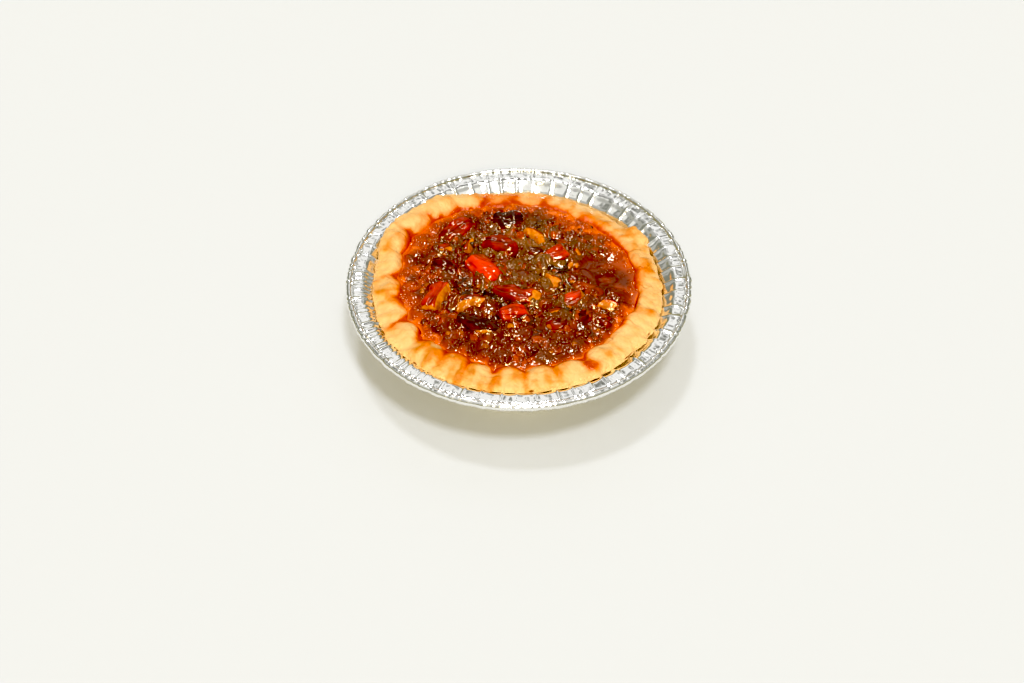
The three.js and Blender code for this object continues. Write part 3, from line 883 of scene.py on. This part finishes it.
def grain_relief(x, y, grains):
    """How far grains raise the caramel at each place, and the tone of the highest grain there."""
    order = np.argsort(x)
    sorted_x, sorted_y = x[order], y[order]
    rise, tones = np.zeros(len(x)), np.zeros(len(x))
    for middle_x, middle_y, radius, height, stretch, turn, tone in zip(*grains):
        reach = 1.4 * radius
        first, last = np.searchsorted(sorted_x, (middle_x - reach, middle_x + reach))
        off_x, off_y = sorted_x[first:last] - middle_x, sorted_y[first:last] - middle_y
        along = (off_x * math.cos(turn) + off_y * math.sin(turn)) / stretch
        across = (off_y * math.cos(turn) - off_x * math.sin(turn)) * stretch
        ball = (radius ** 2 + height ** 2) / (2 * height)
        cap = np.sqrt(np.maximum(ball ** 2 - along ** 2 - across ** 2, 0)) - (ball - height)
        higher = cap > rise[first:last]
        rise[first:last][higher] = cap[higher]
        tones[first:last][higher] = tone
    back = np.argsort(order)
    return rise[back], tones[back]


def caramel_edge(tart, angles):
    """Radius of the caramel's edge at each angle, just inside the pastry."""
    crust = tart.crust
    out, _ = edge_drift(angles, 2)
    return crust.waterline_radius + crust.notch_reach * notch_relief(angles) + tart.filling.bite + out


def inside_edge(tart, x, y):
    """Distance of each place from the caramel's edge, and its angle round the tart."""
    off_x, off_y = off_middle(tart.crust, x, y)
    angles = np.arctan2(off_y, off_x)
    return caramel_edge(tart, angles) - np.hypot(off_x, off_y), angles


def caramel_surface(tart, x, y):
    """Height of the finished caramel at each place, how much painted shade it gets between grains, and the
    tone of its grain.
    """
    flat = np.stack([x, y, np.zeros_like(x)], axis=-1)
    inside, _ = inside_edge(tart, x, y)
    rough = 1 - 0.65 * smooth_pool(x, y)
    relief = layered(flat, CARAMEL_SWELLS) + rough * layered(flat, CARAMEL_UNEVENNESS)
    rise, tones = grain_relief(x, y, grain_places(tart, *GRAINS))
    crumbs, crumb_tones = grain_relief(x, y, grain_places(tart, *CRUMBS))
    rise, tones = rise + crumbs, np.where(crumbs > 0, crumb_tones, tones)
    clinging = 0.7 + 0.9 * lumps(flat, 1.4 * MM, 46)
    climb = tart.filling.climb * clinging * np.exp(-np.maximum(nut_distance(x, y), 0) / (0.9 * MM))
    height = caramel_crown(tart, x, y) + climb
    height = height + (relief + rise * rough) * smoothstep(0.2 * MM, 1.6 * MM, inside)
    # Painted shade wherever no grain rises, weaker in the smooth pool and fading out near the edge
    hollow_shade = smoothstep(0.22 * MM, 0.02 * MM, rise) * rough * smoothstep(0.5 * MM, 3 * MM, inside)
    return height, hollow_shade, tones


def even_disc(count):
    """A square grid of points mapped evenly onto the unit disc."""
    line = np.linspace(-1, 1, count)
    a, b = np.meshgrid(line, line)
    wide = np.abs(a) > np.abs(b)
    radius = np.where(wide, a, b)
    with np.errstate(divide="ignore", invalid="ignore"):
        angle = np.where(wide, np.pi / 4 * b / a, np.pi / 2 - np.pi / 4 * a / b)
    return radius * np.cos(angle), radius * np.sin(angle)


def set_caramel(filling):
    """Sugar syrup and egg, baked until set: a glossy brown jelly, red-orange where it thins out."""
    material, tree, place = new_material("set_caramel")
    rim, crumb, hollow_shade = point_values(tree, "rim", "crumb", "hollow_shade")
    specks = add_node(tree, "TexNoise", {"Vector": place, "Scale": 1 / (0.8 * MM), "Detail": 3.0})
    clouds = add_node(tree, "TexNoise", {"Vector": place, "Scale": 1 / (3.5 * MM), "Detail": 3.0})
    crumbly = add_node(tree, "Math", {0: specks, 1: 0.7, 2: crumb}, operation="MULTIPLY_ADD")
    part = add_node(tree, "MapRange", {"Value": crumbly, 1: 0.45, 2: 1.05})
    body = add_node(tree, "Mix", {0: part, 6: filling.dark, 7: filling.crumbly}, 2, data_type="RGBA")
    dots = add_node(tree, "MapRange", {"Value": crumbly, 1: 1.05, 2: 1.45, 4: 0.55})
    dotted = add_node(tree, "Mix", {0: dots, 6: body, 7: filling.golden}, 2, data_type="RGBA")
    # Painted shade between the grains
    with_hollow_shade = add_node(tree, "Mix", {0: hollow_shade, 6: dotted, 7: filling.painted_hollow_shade}, 2, data_type="RGBA")
    thin = add_node(tree, "Math", {0: clouds, 1: 0.35, 2: rim}, operation="MULTIPLY_ADD")
    glowing = add_node(tree, "MapRange", {"Value": thin, 1: 0.35, 2: 0.8})
    reddened = add_node(tree, "Mix", {0: glowing, 6: with_hollow_shade, 7: filling.ember}, 2, data_type="RGBA")
    thinnest = add_node(tree, "MapRange", {"Value": thin, 1: 0.85, 2: 1.15})
    coloured = add_node(tree, "Mix", {0: thinnest, 6: reddened, 7: filling.edge}, 2, data_type="RGBA")
    roughness = add_node(tree, "MapRange", {"Value": clouds, 3: 0.07, 4: 0.17})
    bump = add_node(tree, "Bump", {"Height": specks, "Strength": 0.8, "Distance": 0.012 * MM})
    shader = add_node(tree, "BsdfPrincipled", {
        "Base Color": coloured, "Roughness": roughness, "IOR": 1.68, "Specular Tint": WARM_GLINT,
        "Normal": bump})
    add_node(tree, "OutputMaterial", {"Surface": shader})
    return material


def caramel_tone(tart, x, y, hollow_shade, tones):
    """Values that colour the caramel: how near the pastry, how full of nut crumbs, and how much painted
    shade it gets between grains.
    """
    inside, angles = inside_edge(tart, x, y)
    flat = np.stack([x, y, np.zeros_like(x)], axis=-1)
    wide = 0.9 + 2.2 * sum(near_angle(angles, degrees, 65, 25) for degrees in (20, 90, 172))
    amber = 0.4 * smoothstep(0.2, 0.9, -tones) * (1 - smooth_pool(x, y))
    rim = np.exp(-np.maximum(inside, 0) / (wide * MM)) + 0.28 * lumps(flat, 2.5 * MM, 51) + amber
    middle = smoothstep(24 * MM, 10 * MM, np.hypot(x - 1 * MM, y - 3 * MM))
    crumb = 0.55 * middle + 0.35 * lumps(flat, 6 * MM, 52) + 0.45 * tones * (0.25 + middle)
    crumb = crumb - 0.8 * smooth_pool(x, y)
    return {
        "rim": np.clip(rim, 0, 1),
        "crumb": np.clip(crumb, 0, 1.2),
        # Painted shade between grains, stronger towards the middle
        "hollow_shade": hollow_shade * (0.5 + 0.45 * middle),
    }


def make_caramel_filling(tart, material):
    """Caramel up to its waterline, lumpy with grains, climbing a little up each nut and into each notch."""
    count = CARAMEL_POINTS
    disc_x, disc_y = even_disc(count)
    radius = caramel_edge(tart, np.arctan2(disc_y, disc_x))
    x = (disc_x * radius + tart.crust.shift_x).ravel()
    y = (disc_y * radius + tart.crust.shift_y).ravel()
    height, hollow_shade, tones = caramel_surface(tart, x, y)
    top = np.stack([x, y, height], axis=1)
    row, column = np.meshgrid(np.arange(count - 1), np.arange(count - 1), indexing="ij")
    corner = row * count + column
    quads = np.stack([corner, corner + 1, corner + count + 1, corner + count], axis=-1).reshape(-1, 4)
    ends = np.arange(count - 1)
    ring = np.concatenate([
        ends, ends * count + count - 1, count * count - 1 - ends, (count - 1 - ends) * count])
    rim = top[ring]
    skirts = []
    for part, rise in CARAMEL_LEVELS:
        level = rim * np.array([part, part, 1])
        level[:, 2] = tart.filling.bottom + rise * (rim[:, 2] - tart.filling.bottom)
        skirts.append(level)
    points = np.concatenate([top, *skirts, [[tart.crust.shift_x, tart.crust.shift_y, tart.filling.bottom]]])
    rings = [ring] + [len(top) + step * len(ring) + np.arange(len(ring)) for step in range(len(skirts))]
    sides = [np.stack([upper, lower, np.roll(lower, -1), np.roll(upper, -1)], axis=1)
             for upper, lower in zip(rings, rings[1:])]
    fan = np.stack([np.roll(rings[-1], -1), rings[-1], np.full(len(ring), len(points) - 1)], axis=1)
    faces = quads.tolist() + np.concatenate(sides).tolist() + fan.tolist()
    below = np.zeros(len(points) - len(top))
    hollow_shade, tones = np.concatenate([hollow_shade, below]), np.concatenate([tones, below])
    values = caramel_tone(tart, points[:, 0], points[:, 1], hollow_shade, tones)
    make_piece("set_caramel_filling", points, faces, material, "caramel", ["caramel_filling"], values)


def make_caramel_bubbles(tart, material):
    """Fine bubbles that stand on the caramel, as small domes in one mesh."""
    x, y, radius, *_ = grain_places(tart, *BUBBLES)
    base, _, tones = caramel_surface(tart, x, y)
    tilt = np.linspace(0.6, 0.15, BUBBLE_RINGS)[:, None] * math.pi
    dome, faces = closed_rings(turned(np.sin(tilt), even_angles(BUBBLE_SIDES), np.cos(tilt)))
    dome[-1] = (0, 0, 1)
    dome = dome * np.array([1, 1, BUBBLE_HEIGHT])
    middles = np.stack([x, y, base - 0.1 * radius], axis=1)
    points = (middles[:, None] + dome[None] * radius[:, None, None]).reshape(-1, 3)
    all_faces = [[corner + step * len(dome) for corner in face] for step in range(len(x)) for face in faces]
    all_tones = np.repeat(tones, len(dome))
    values = caramel_tone(tart, points[:, 0], points[:, 1], 0 * all_tones, all_tones)
    make_piece("caramel_bubbles", points, all_faces, material, "caramel", (), values)


# Pecans

# Rows and columns of points on a pecan piece and on a chip
PECAN_GRID = (48, 72)
CHIP_GRID = (9, 12)

# Pitch of the wrinkles of the skin, along, across and up
WRINKLE_PITCH = np.array([3.2, 0.9, 0.9]) * MM

# How far a piece may roll and nod from lying flat, in degrees
MOST_ROLL = 16
MOST_NOD = 7

# Chips: how many are tried, share of those that stay outside the pool, how far out they lie, smallest and
# largest length in millimetres, share of those that show flesh, and seed of the first
CHIP_TRIES = 260
CHIP_SHARE = 0.7
CHIP_REACH = 25.5 * MM
CHIP_SIZES = (0.8, 2.3)
BARE_CHIPS = 0.45
CHIP_SEED = 400


def turn_about(axis, degrees):
    """Matrix that turns row vectors about an axis: 0 for X, 1 for Y, 2 for Z."""
    cos, sin = math.cos(math.radians(degrees)), math.sin(math.radians(degrees))
    matrix = np.eye(3)
    first, second = (axis + 1) % 3, (axis + 2) % 3
    matrix[first, first] = matrix[second, second] = cos
    matrix[first, second], matrix[second, first] = sin, -sin
    return matrix


def pecan_points(pecans, size, width, broken, seed, rows, columns):
    """One chopped pecan piece in its own frame, long way on X, as rings of points.

    With each point go its share of bare flesh and how far down a groove it lies.
    """
    half = np.array([size, width, width * pecans.thickness]) * MM / 2
    draw = np.random.default_rng(seed)
    along = np.linspace(0.06, np.pi - 0.06, rows)[:, None]
    around = even_angles(columns)
    lengthwise = np.cos(along) * np.ones(columns)
    taper = 1 + draw.uniform(-0.2, 0.2) * lengthwise
    wander = draw.uniform(0, 6) + draw.uniform(0.1, 0.35) * np.sin(2.2 * along + draw.uniform(0, 6))
    groove = (1 - np.abs(np.sin(pecans.ridges / 2 * (around - wander)))) ** 2 * np.sin(along) ** 0.5
    round_part = np.sin(along) ** pecans.fullness * taper * (1 - pecans.ridge * groove)
    bend = draw.uniform(-0.2, 0.2) * half[1] * (lengthwise ** 2 - 0.5)
    points = np.stack([
        half[0] * lengthwise, half[1] * np.cos(around) * round_part + bend,
        -half[2] * np.sin(around) * round_part], axis=-1)
    offset = draw.uniform(0, 50, 3) * MM
    moved = points + offset
    wrinkle = 0.2 * lumps(moved, WRINKLE_PITCH, seed) + 0.08 * lumps(moved, 0.5 * WRINKLE_PITCH, seed)
    lump = 0.45 * lumps(moved, 2.4 * MM, seed + 100)
    points = points + grid_normals(points) * ((wrinkle + lump) * min(1, width / 5) * MM)[..., None]
    flesh = np.zeros(points.shape[:2])
    cuts = list(BROKEN_FACES[broken])
    for _ in range(2):
        facing = draw.normal(0, 1, 3) * np.array([1, 1, 0.6])
        cuts.append((tuple(facing), draw.uniform(0.72, 0.9)))
    for facing, reach in cuts:
        face = np.array(facing) / np.linalg.norm(facing)
        past = points @ face - reach * np.linalg.norm(face * half)
        rough = 0.15 * lumps(points + offset, 1.1 * MM, seed + 200)
        rough = rough + 0.06 * lumps(points, 0.45 * MM, seed + 300)
        cut = np.maximum(past, 0) * 0.92 - rough * MM * smoothstep(0, 0.3 * MM, past)
        points = points - cut[..., None] * face
        flesh = np.maximum(flesh, smoothstep(-0.1 * MM, 0.4 * MM, past))
    return points, flesh, groove * (1 - flesh)


def glazed_pecan(pecans, filling):
    """Pecan under baked syrup: red-brown skin or golden broken flesh, with a hard glaze and sharp glints."""
    material, tree, place = new_material("glazed_pecan")
    flesh, roast, sunk = point_values(tree, "flesh", "roast", "sunk")
    grain = add_node(tree, "TexNoise", {"Vector": place, "Scale": 1 / (0.9 * MM), "Detail": 4.0})
    broad = add_node(tree, "TexNoise", {"Vector": place, "Scale": 1 / (2.4 * MM), "Detail": 3.0})
    roasted = add_node(tree, "Math", {0: broad, 1: 1.2, 2: roast}, operation="MULTIPLY_ADD")
    skin = add_node(tree, "ValToRGB", {"Fac": roasted}, stops=[
        (0.1, pecans.bright_skin), (0.42, pecans.red_skin), (0.75, pecans.dark_skin),
        (1.0, pecans.burnt_skin)])
    soaked = add_node(tree, "MapRange", {"Value": grain, 1: 0.4, 2: 0.72})
    meat = add_node(tree, "Mix", {0: soaked, 6: pecans.flesh, 7: pecans.deep_flesh}, 2, data_type="RGBA")
    edge = add_node(tree, "Math", {0: grain, 1: 0.6, 2: flesh}, operation="MULTIPLY_ADD")
    bare = add_node(tree, "MapRange", {"Value": edge, 1: 0.6, 2: 1.0})
    nut = add_node(tree, "Mix", {0: bare, 6: skin, 7: meat}, 2, data_type="RGBA")
    coloured = add_node(tree, "Mix", {0: sunk, 6: nut, 7: filling.dark}, 2, data_type="RGBA")
    roughness = add_node(tree, "MapRange", {"Value": broad, 3: 0.06, 4: 0.2})
    bump = add_node(tree, "Bump", {"Height": grain, "Strength": 0.8, "Distance": 0.035 * MM})
    shader = add_node(tree, "BsdfPrincipled", {
        "Base Color": coloured, "Roughness": roughness, "IOR": 1.6, "Specular Tint": WARM_GLINT,
        "Normal": bump})
    add_node(tree, "OutputMaterial", {"Surface": shader})
    return material


def make_pecans(tart, material):
    """Each chopped pecan piece where it lies, half sunk in the caramel and partly filmed over by it."""
    draw = np.random.default_rng(80)
    for number, (x, y, turn, size, width, broken, roast) in enumerate(PECANS, 1):
        points, flesh, groove = pecan_points(tart.pecans, size, width, broken, number, *PECAN_GRID)
        roll, nod = draw.uniform(-MOST_ROLL, MOST_ROLL), draw.uniform(-MOST_NOD, MOST_NOD)
        points = points @ turn_about(0, roll) @ turn_about(1, nod) @ turn_about(2, turn)
        level = caramel_crown(tart, x * MM, y * MM) + tart.pecans.lift
        points = points + np.array([x * MM, y * MM, level])
        proud = points[..., 2] - caramel_crown(tart, points[..., 0], points[..., 1])
        film = smoothstep(1.7 * MM, 0.3 * MM, proud + 0.9 * MM * lumps(points, 1.3 * MM, 81))
        sunk = film * (0.8 - 0.28 * flesh)
        values = with_ends({"flesh": flesh, "roast": roast - 0.55 + 0.22 * groove, "sunk": sunk})
        slot = "pecan_flesh" if broken in FLESH_SHOWS else "pecan_skin"
        make_piece(
            f"glazed_pecan_{number:02d}", *closed_rings(points), material, slot, [f"pecan_{number:02d}"],
            values)


def make_pecan_chips(tart, material):
    """Small chips of nut that lie between the larger pieces, in one mesh."""
    draw = np.random.default_rng(71)
    out = CHIP_REACH * np.sqrt(draw.uniform(0, 1, CHIP_TRIES))
    turn = draw.uniform(0, FULL_TURN, CHIP_TRIES)
    x, y = out * np.cos(turn), out * np.sin(turn)
    size = draw.uniform(*CHIP_SIZES, CHIP_TRIES)
    flat = draw.uniform(0.5, 0.9, CHIP_TRIES)
    tones = {
        "flesh": (draw.uniform(0, 1, CHIP_TRIES) < BARE_CHIPS).astype(float),
        "roast": draw.uniform(0, 0.5, CHIP_TRIES),
        "sunk": draw.uniform(0.35, 0.9, CHIP_TRIES),
    }
    kept = draw.uniform(0, 1, CHIP_TRIES) < CHIP_SHARE - smooth_pool(x, y)
    kept &= nut_distance(x, y) > 0.25 * size * MM
    level, _, _ = caramel_surface(tart, x, y)
    chips, all_faces = [], []
    for number in np.flatnonzero(kept):
        width = size[number] * flat[number]
        seed = CHIP_SEED + number
        points, _, _ = pecan_points(tart.pecans, size[number], width, "end", seed, *CHIP_GRID)
        tilt = turn_about(0, 40 * tones["roast"][number])
        middle = np.array([x[number], y[number], level[number] - 0.08 * size[number] * MM])
        points = points @ tilt @ turn_about(2, math.degrees(7 * turn[number])) + middle
        chip, faces = closed_rings(points)
        all_faces += [[corner + len(chips) * len(chip) for corner in face] for face in faces]
        chips.append(chip)
    values = {label: np.repeat(numbers[kept], len(chips[0])) for label, numbers in tones.items()}
    make_piece("pecan_chips", np.concatenate(chips), all_faces, material, "pecan_flesh", (), values)


# Stage

# Light of the studio by height, as the sine of the elevation and a colour: warm and dim low down, and
# brightest half way up
STUDIO_HEIGHTS = [
    (0.0, "#a39a5c"), (0.28, "#8f8b68"), (0.45, "#b8b8b0"), (0.72, "#c4c4c0"), (0.86, "#90908c"),
    (1.0, "#70706d"),
]

# Parts of the studio that differ from that: azimuth and elevation of the middle, half width, and colour
STUDIO_PATCHES = [
    (0, 46, 25, "#ffffff"),
    (10, 37, 5, "#7c7d76"),
    (-17, 54, 4, "#8c8d86"),
    (180, 70, 18, "#e8e8e2"),
    (180, 18, 16, "#ffffff"),
    (180, 44, 11, "#3a3a36"),
    (110, 64, 15, "#f4f4f0"),
    (-110, 64, 15, "#f4f4f0"),
    (80, 46, 10, "#8e8f88"),
    (-80, 46, 10, "#8e8f88"),
    (44, 15, 18, "#8c8e82"),
    (-44, 15, 18, "#8c8e82"),
]
PATCH_EDGE = 5

# Lamps: name, azimuth clockwise from +Y, elevation, strength, apparent size in degrees, and colour
LAMPS = [
    ("key_lamp", 162, 68, 1.78, 9, "#ffffff"),
    ("top_lamp", -30, 76, 0.9, 8, "#ffffff"),
    ("front_lamp", 180, 42, 2.8, 12, "#ffebb4"),
]

FLOOR_HALF = 2.0


def toward(azimuth, elevation):
    """Unit vector to an azimuth, clockwise from +Y, and an elevation, both in degrees."""
    a, e = math.radians(azimuth), math.radians(elevation)
    return Vector((math.sin(a) * math.cos(e), math.cos(a) * math.cos(e), math.sin(e)))


def studio_world(stage):
    """Soft studio: dim and warm low down, bright half way up, with patches that the foil mirrors."""
    world = bpy.data.worlds.new("soft_studio")
    world.use_nodes = True
    tree = world.node_tree
    tree.nodes.clear()
    place = add_node(tree, "TexCoord", output="Generated")
    height = add_node(tree, "SeparateXYZ", {0: place}, "Z")
    stops = [(sine, linear(code)) for sine, code in STUDIO_HEIGHTS]
    light = add_node(tree, "ValToRGB", {"Fac": height}, stops=stops)
    for azimuth, elevation, half_width, code in STUDIO_PATCHES:
        middle = toward(azimuth, elevation)
        near = add_node(tree, "VectorMath", {0: place, 1: middle}, "Value", operation="DOT_PRODUCT")
        outer, inner = (math.cos(math.radians(half_width + step)) for step in (PATCH_EDGE, -PATCH_EDGE))
        inside = add_node(
            tree, "MapRange", {"Value": near, 1: outer, 2: inner}, interpolation_type="SMOOTHSTEP")
        light = add_node(tree, "Mix", {0: inside, 6: light, 7: linear(code)}, 2, data_type="RGBA")
    lit = add_node(tree, "Background", {"Color": light})
    seen = add_node(tree, "Background", {"Color": stage.backdrop})
    from_camera = add_node(tree, "LightPath", output="Is Camera Ray")
    both = add_node(tree, "MixShader", {0: from_camera, 1: lit, 2: seen})
    add_node(tree, "OutputWorld", {"Surface": both})
    return world


def matt_white_card(stage):
    """White card: a plain matt surface with the faintest unevenness."""
    material, tree, place = new_material("matt_white_card")
    fibre = add_node(tree, "TexNoise", {"Vector": place, "Scale": 1 / (4 * MM), "Detail": 2.0})
    roughness = add_node(tree, "MapRange", {"Value": fibre, 3: 0.75, 4: 0.9})
    shader = add_node(tree, "BsdfPrincipled", {
        "Base Color": stage.floor_colour, "Roughness": roughness, "IOR": 1.3})
    add_node(tree, "OutputMaterial", {"Surface": shader})
    return material


def make_floor(stage):
    """Plain pale floor under the tart."""
    corners = [(x * FLOOR_HALF, y * FLOOR_HALF, 0) for x, y in ((-1, -1), (1, -1), (1, 1), (-1, 1))]
    mesh = bpy.data.meshes.new("floor")
    mesh.from_pydata(corners, [], [(0, 1, 2, 3)])
    mesh.materials.append(matt_white_card(stage))
    floor = bpy.data.objects.new("floor", mesh)
    bpy.context.scene.collection.objects.link(floor)


def place_object(name, data, direction, place=(0, 0, 0)):
    """Adds a lamp or camera that looks along a direction."""
    placed = bpy.data.objects.new(name, data)
    placed.location = place
    placed.rotation_mode = "QUATERNION"
    placed.rotation_quaternion = Vector(direction).to_track_quat("-Z", "Y")
    bpy.context.scene.collection.objects.link(placed)
    return placed


def make_stage(stage):
    """Plain pale floor, soft studio, lamps for the glints, camera, and how the picture shows its darks."""
    scene = bpy.context.scene
    make_floor(stage)
    scene.world = studio_world(stage)
    for name, azimuth, elevation, strength, size, code in LAMPS:
        lamp = bpy.data.lights.new(name, "SUN")
        lamp.energy = strength
        lamp.color = linear(code)[:3]
        lamp.angle = math.radians(size)
        place_object(name, lamp, -toward(azimuth, elevation))
    camera = bpy.data.cameras.new("camera")
    camera.lens = stage.lens
    camera.clip_start = 1 * MM
    scene.camera = place_object("camera", camera, stage.aim, stage.camera_place)
    scene.view_settings.view_transform = "Standard"
    scene.view_settings.use_curve_mapping = True
    scene.view_settings.curve_mapping.black_level = [stage.black_point] * 3
    scene.view_settings.curve_mapping.update()


# Operators and panel

class TART_OT_stage(bpy.types.Operator):
    """Make the floor, the light and the camera"""
    bl_idname = "tart.stage"
    bl_label = "Stage"

    def execute(self, context):
        make_stage(context.scene.tart.stage)
        return {"FINISHED"}


class TART_OT_foil_tin(bpy.types.Operator):
    """Make the pleated foil tin with its rolled rim"""
    bl_idname = "tart.foil_tin"
    bl_label = "Foil tin"

    def execute(self, context):
        make_foil_tin(context.scene.tart.tin)
        return {"FINISHED"}


class TART_OT_pastry_crust(bpy.types.Operator):
    """Make the crimped pastry crust"""
    bl_idname = "tart.pastry_crust"
    bl_label = "Pastry crust"

    def execute(self, context):
        make_pastry_crust(context.scene.tart)
        return {"FINISHED"}


class TART_OT_caramel(bpy.types.Operator):
    """Make the caramel filling and its fine bubbles"""
    bl_idname = "tart.caramel"
    bl_label = "Caramel"

    def execute(self, context):
        tart = context.scene.tart
        caramel = set_caramel(tart.filling)
        make_caramel_filling(tart, caramel)
        make_caramel_bubbles(tart, caramel)
        return {"FINISHED"}


class TART_OT_pecans(bpy.types.Operator):
    """Make the chopped pecans and the small chips between them"""
    bl_idname = "tart.pecans"
    bl_label = "Pecans"

    def execute(self, context):
        tart = context.scene.tart
        pecan = glazed_pecan(tart.pecans, tart.filling)
        make_pecans(tart, pecan)
        make_pecan_chips(tart, pecan)
        return {"FINISHED"}


OPERATORS = (TART_OT_stage, TART_OT_foil_tin, TART_OT_pastry_crust, TART_OT_caramel, TART_OT_pecans)


class TART_PT_pieces(bpy.types.Panel):
    """Lists the pieces of the tart"""
    bl_idname = "TART_PT_pieces"
    bl_label = "Pecan tart"
    bl_space_type = "VIEW_3D"
    bl_region_type = "UI"
    bl_category = "Pecan tart"

    def draw(self, context):
        for operator in OPERATORS:
            self.layout.operator(operator.bl_idname)


GROUPS = (TinSettings, CrustSettings, FillingSettings, PecanSettings, StageSettings, TartSettings)


def register():
    """Adds the settings, the operators and the panel."""
    for kind in (*GROUPS, *OPERATORS, TART_PT_pieces):
        bpy.utils.register_class(kind)
    bpy.types.Scene.tart = PointerProperty(
        name="Tart", description="Settings of the tart", type=TartSettings)


def unregister():
    """Takes the settings, the operators and the panel away again."""
    del bpy.types.Scene.tart
    for kind in reversed((*GROUPS, *OPERATORS, TART_PT_pieces)):
        bpy.utils.unregister_class(kind)


def main():
    """Makes the stage and every piece."""
    register()
    bpy.ops.tart.stage()
    bpy.ops.tart.foil_tin()
    bpy.ops.tart.pastry_crust()
    bpy.ops.tart.caramel()
    bpy.ops.tart.pecans()


if __name__ == "__main__":
    main()
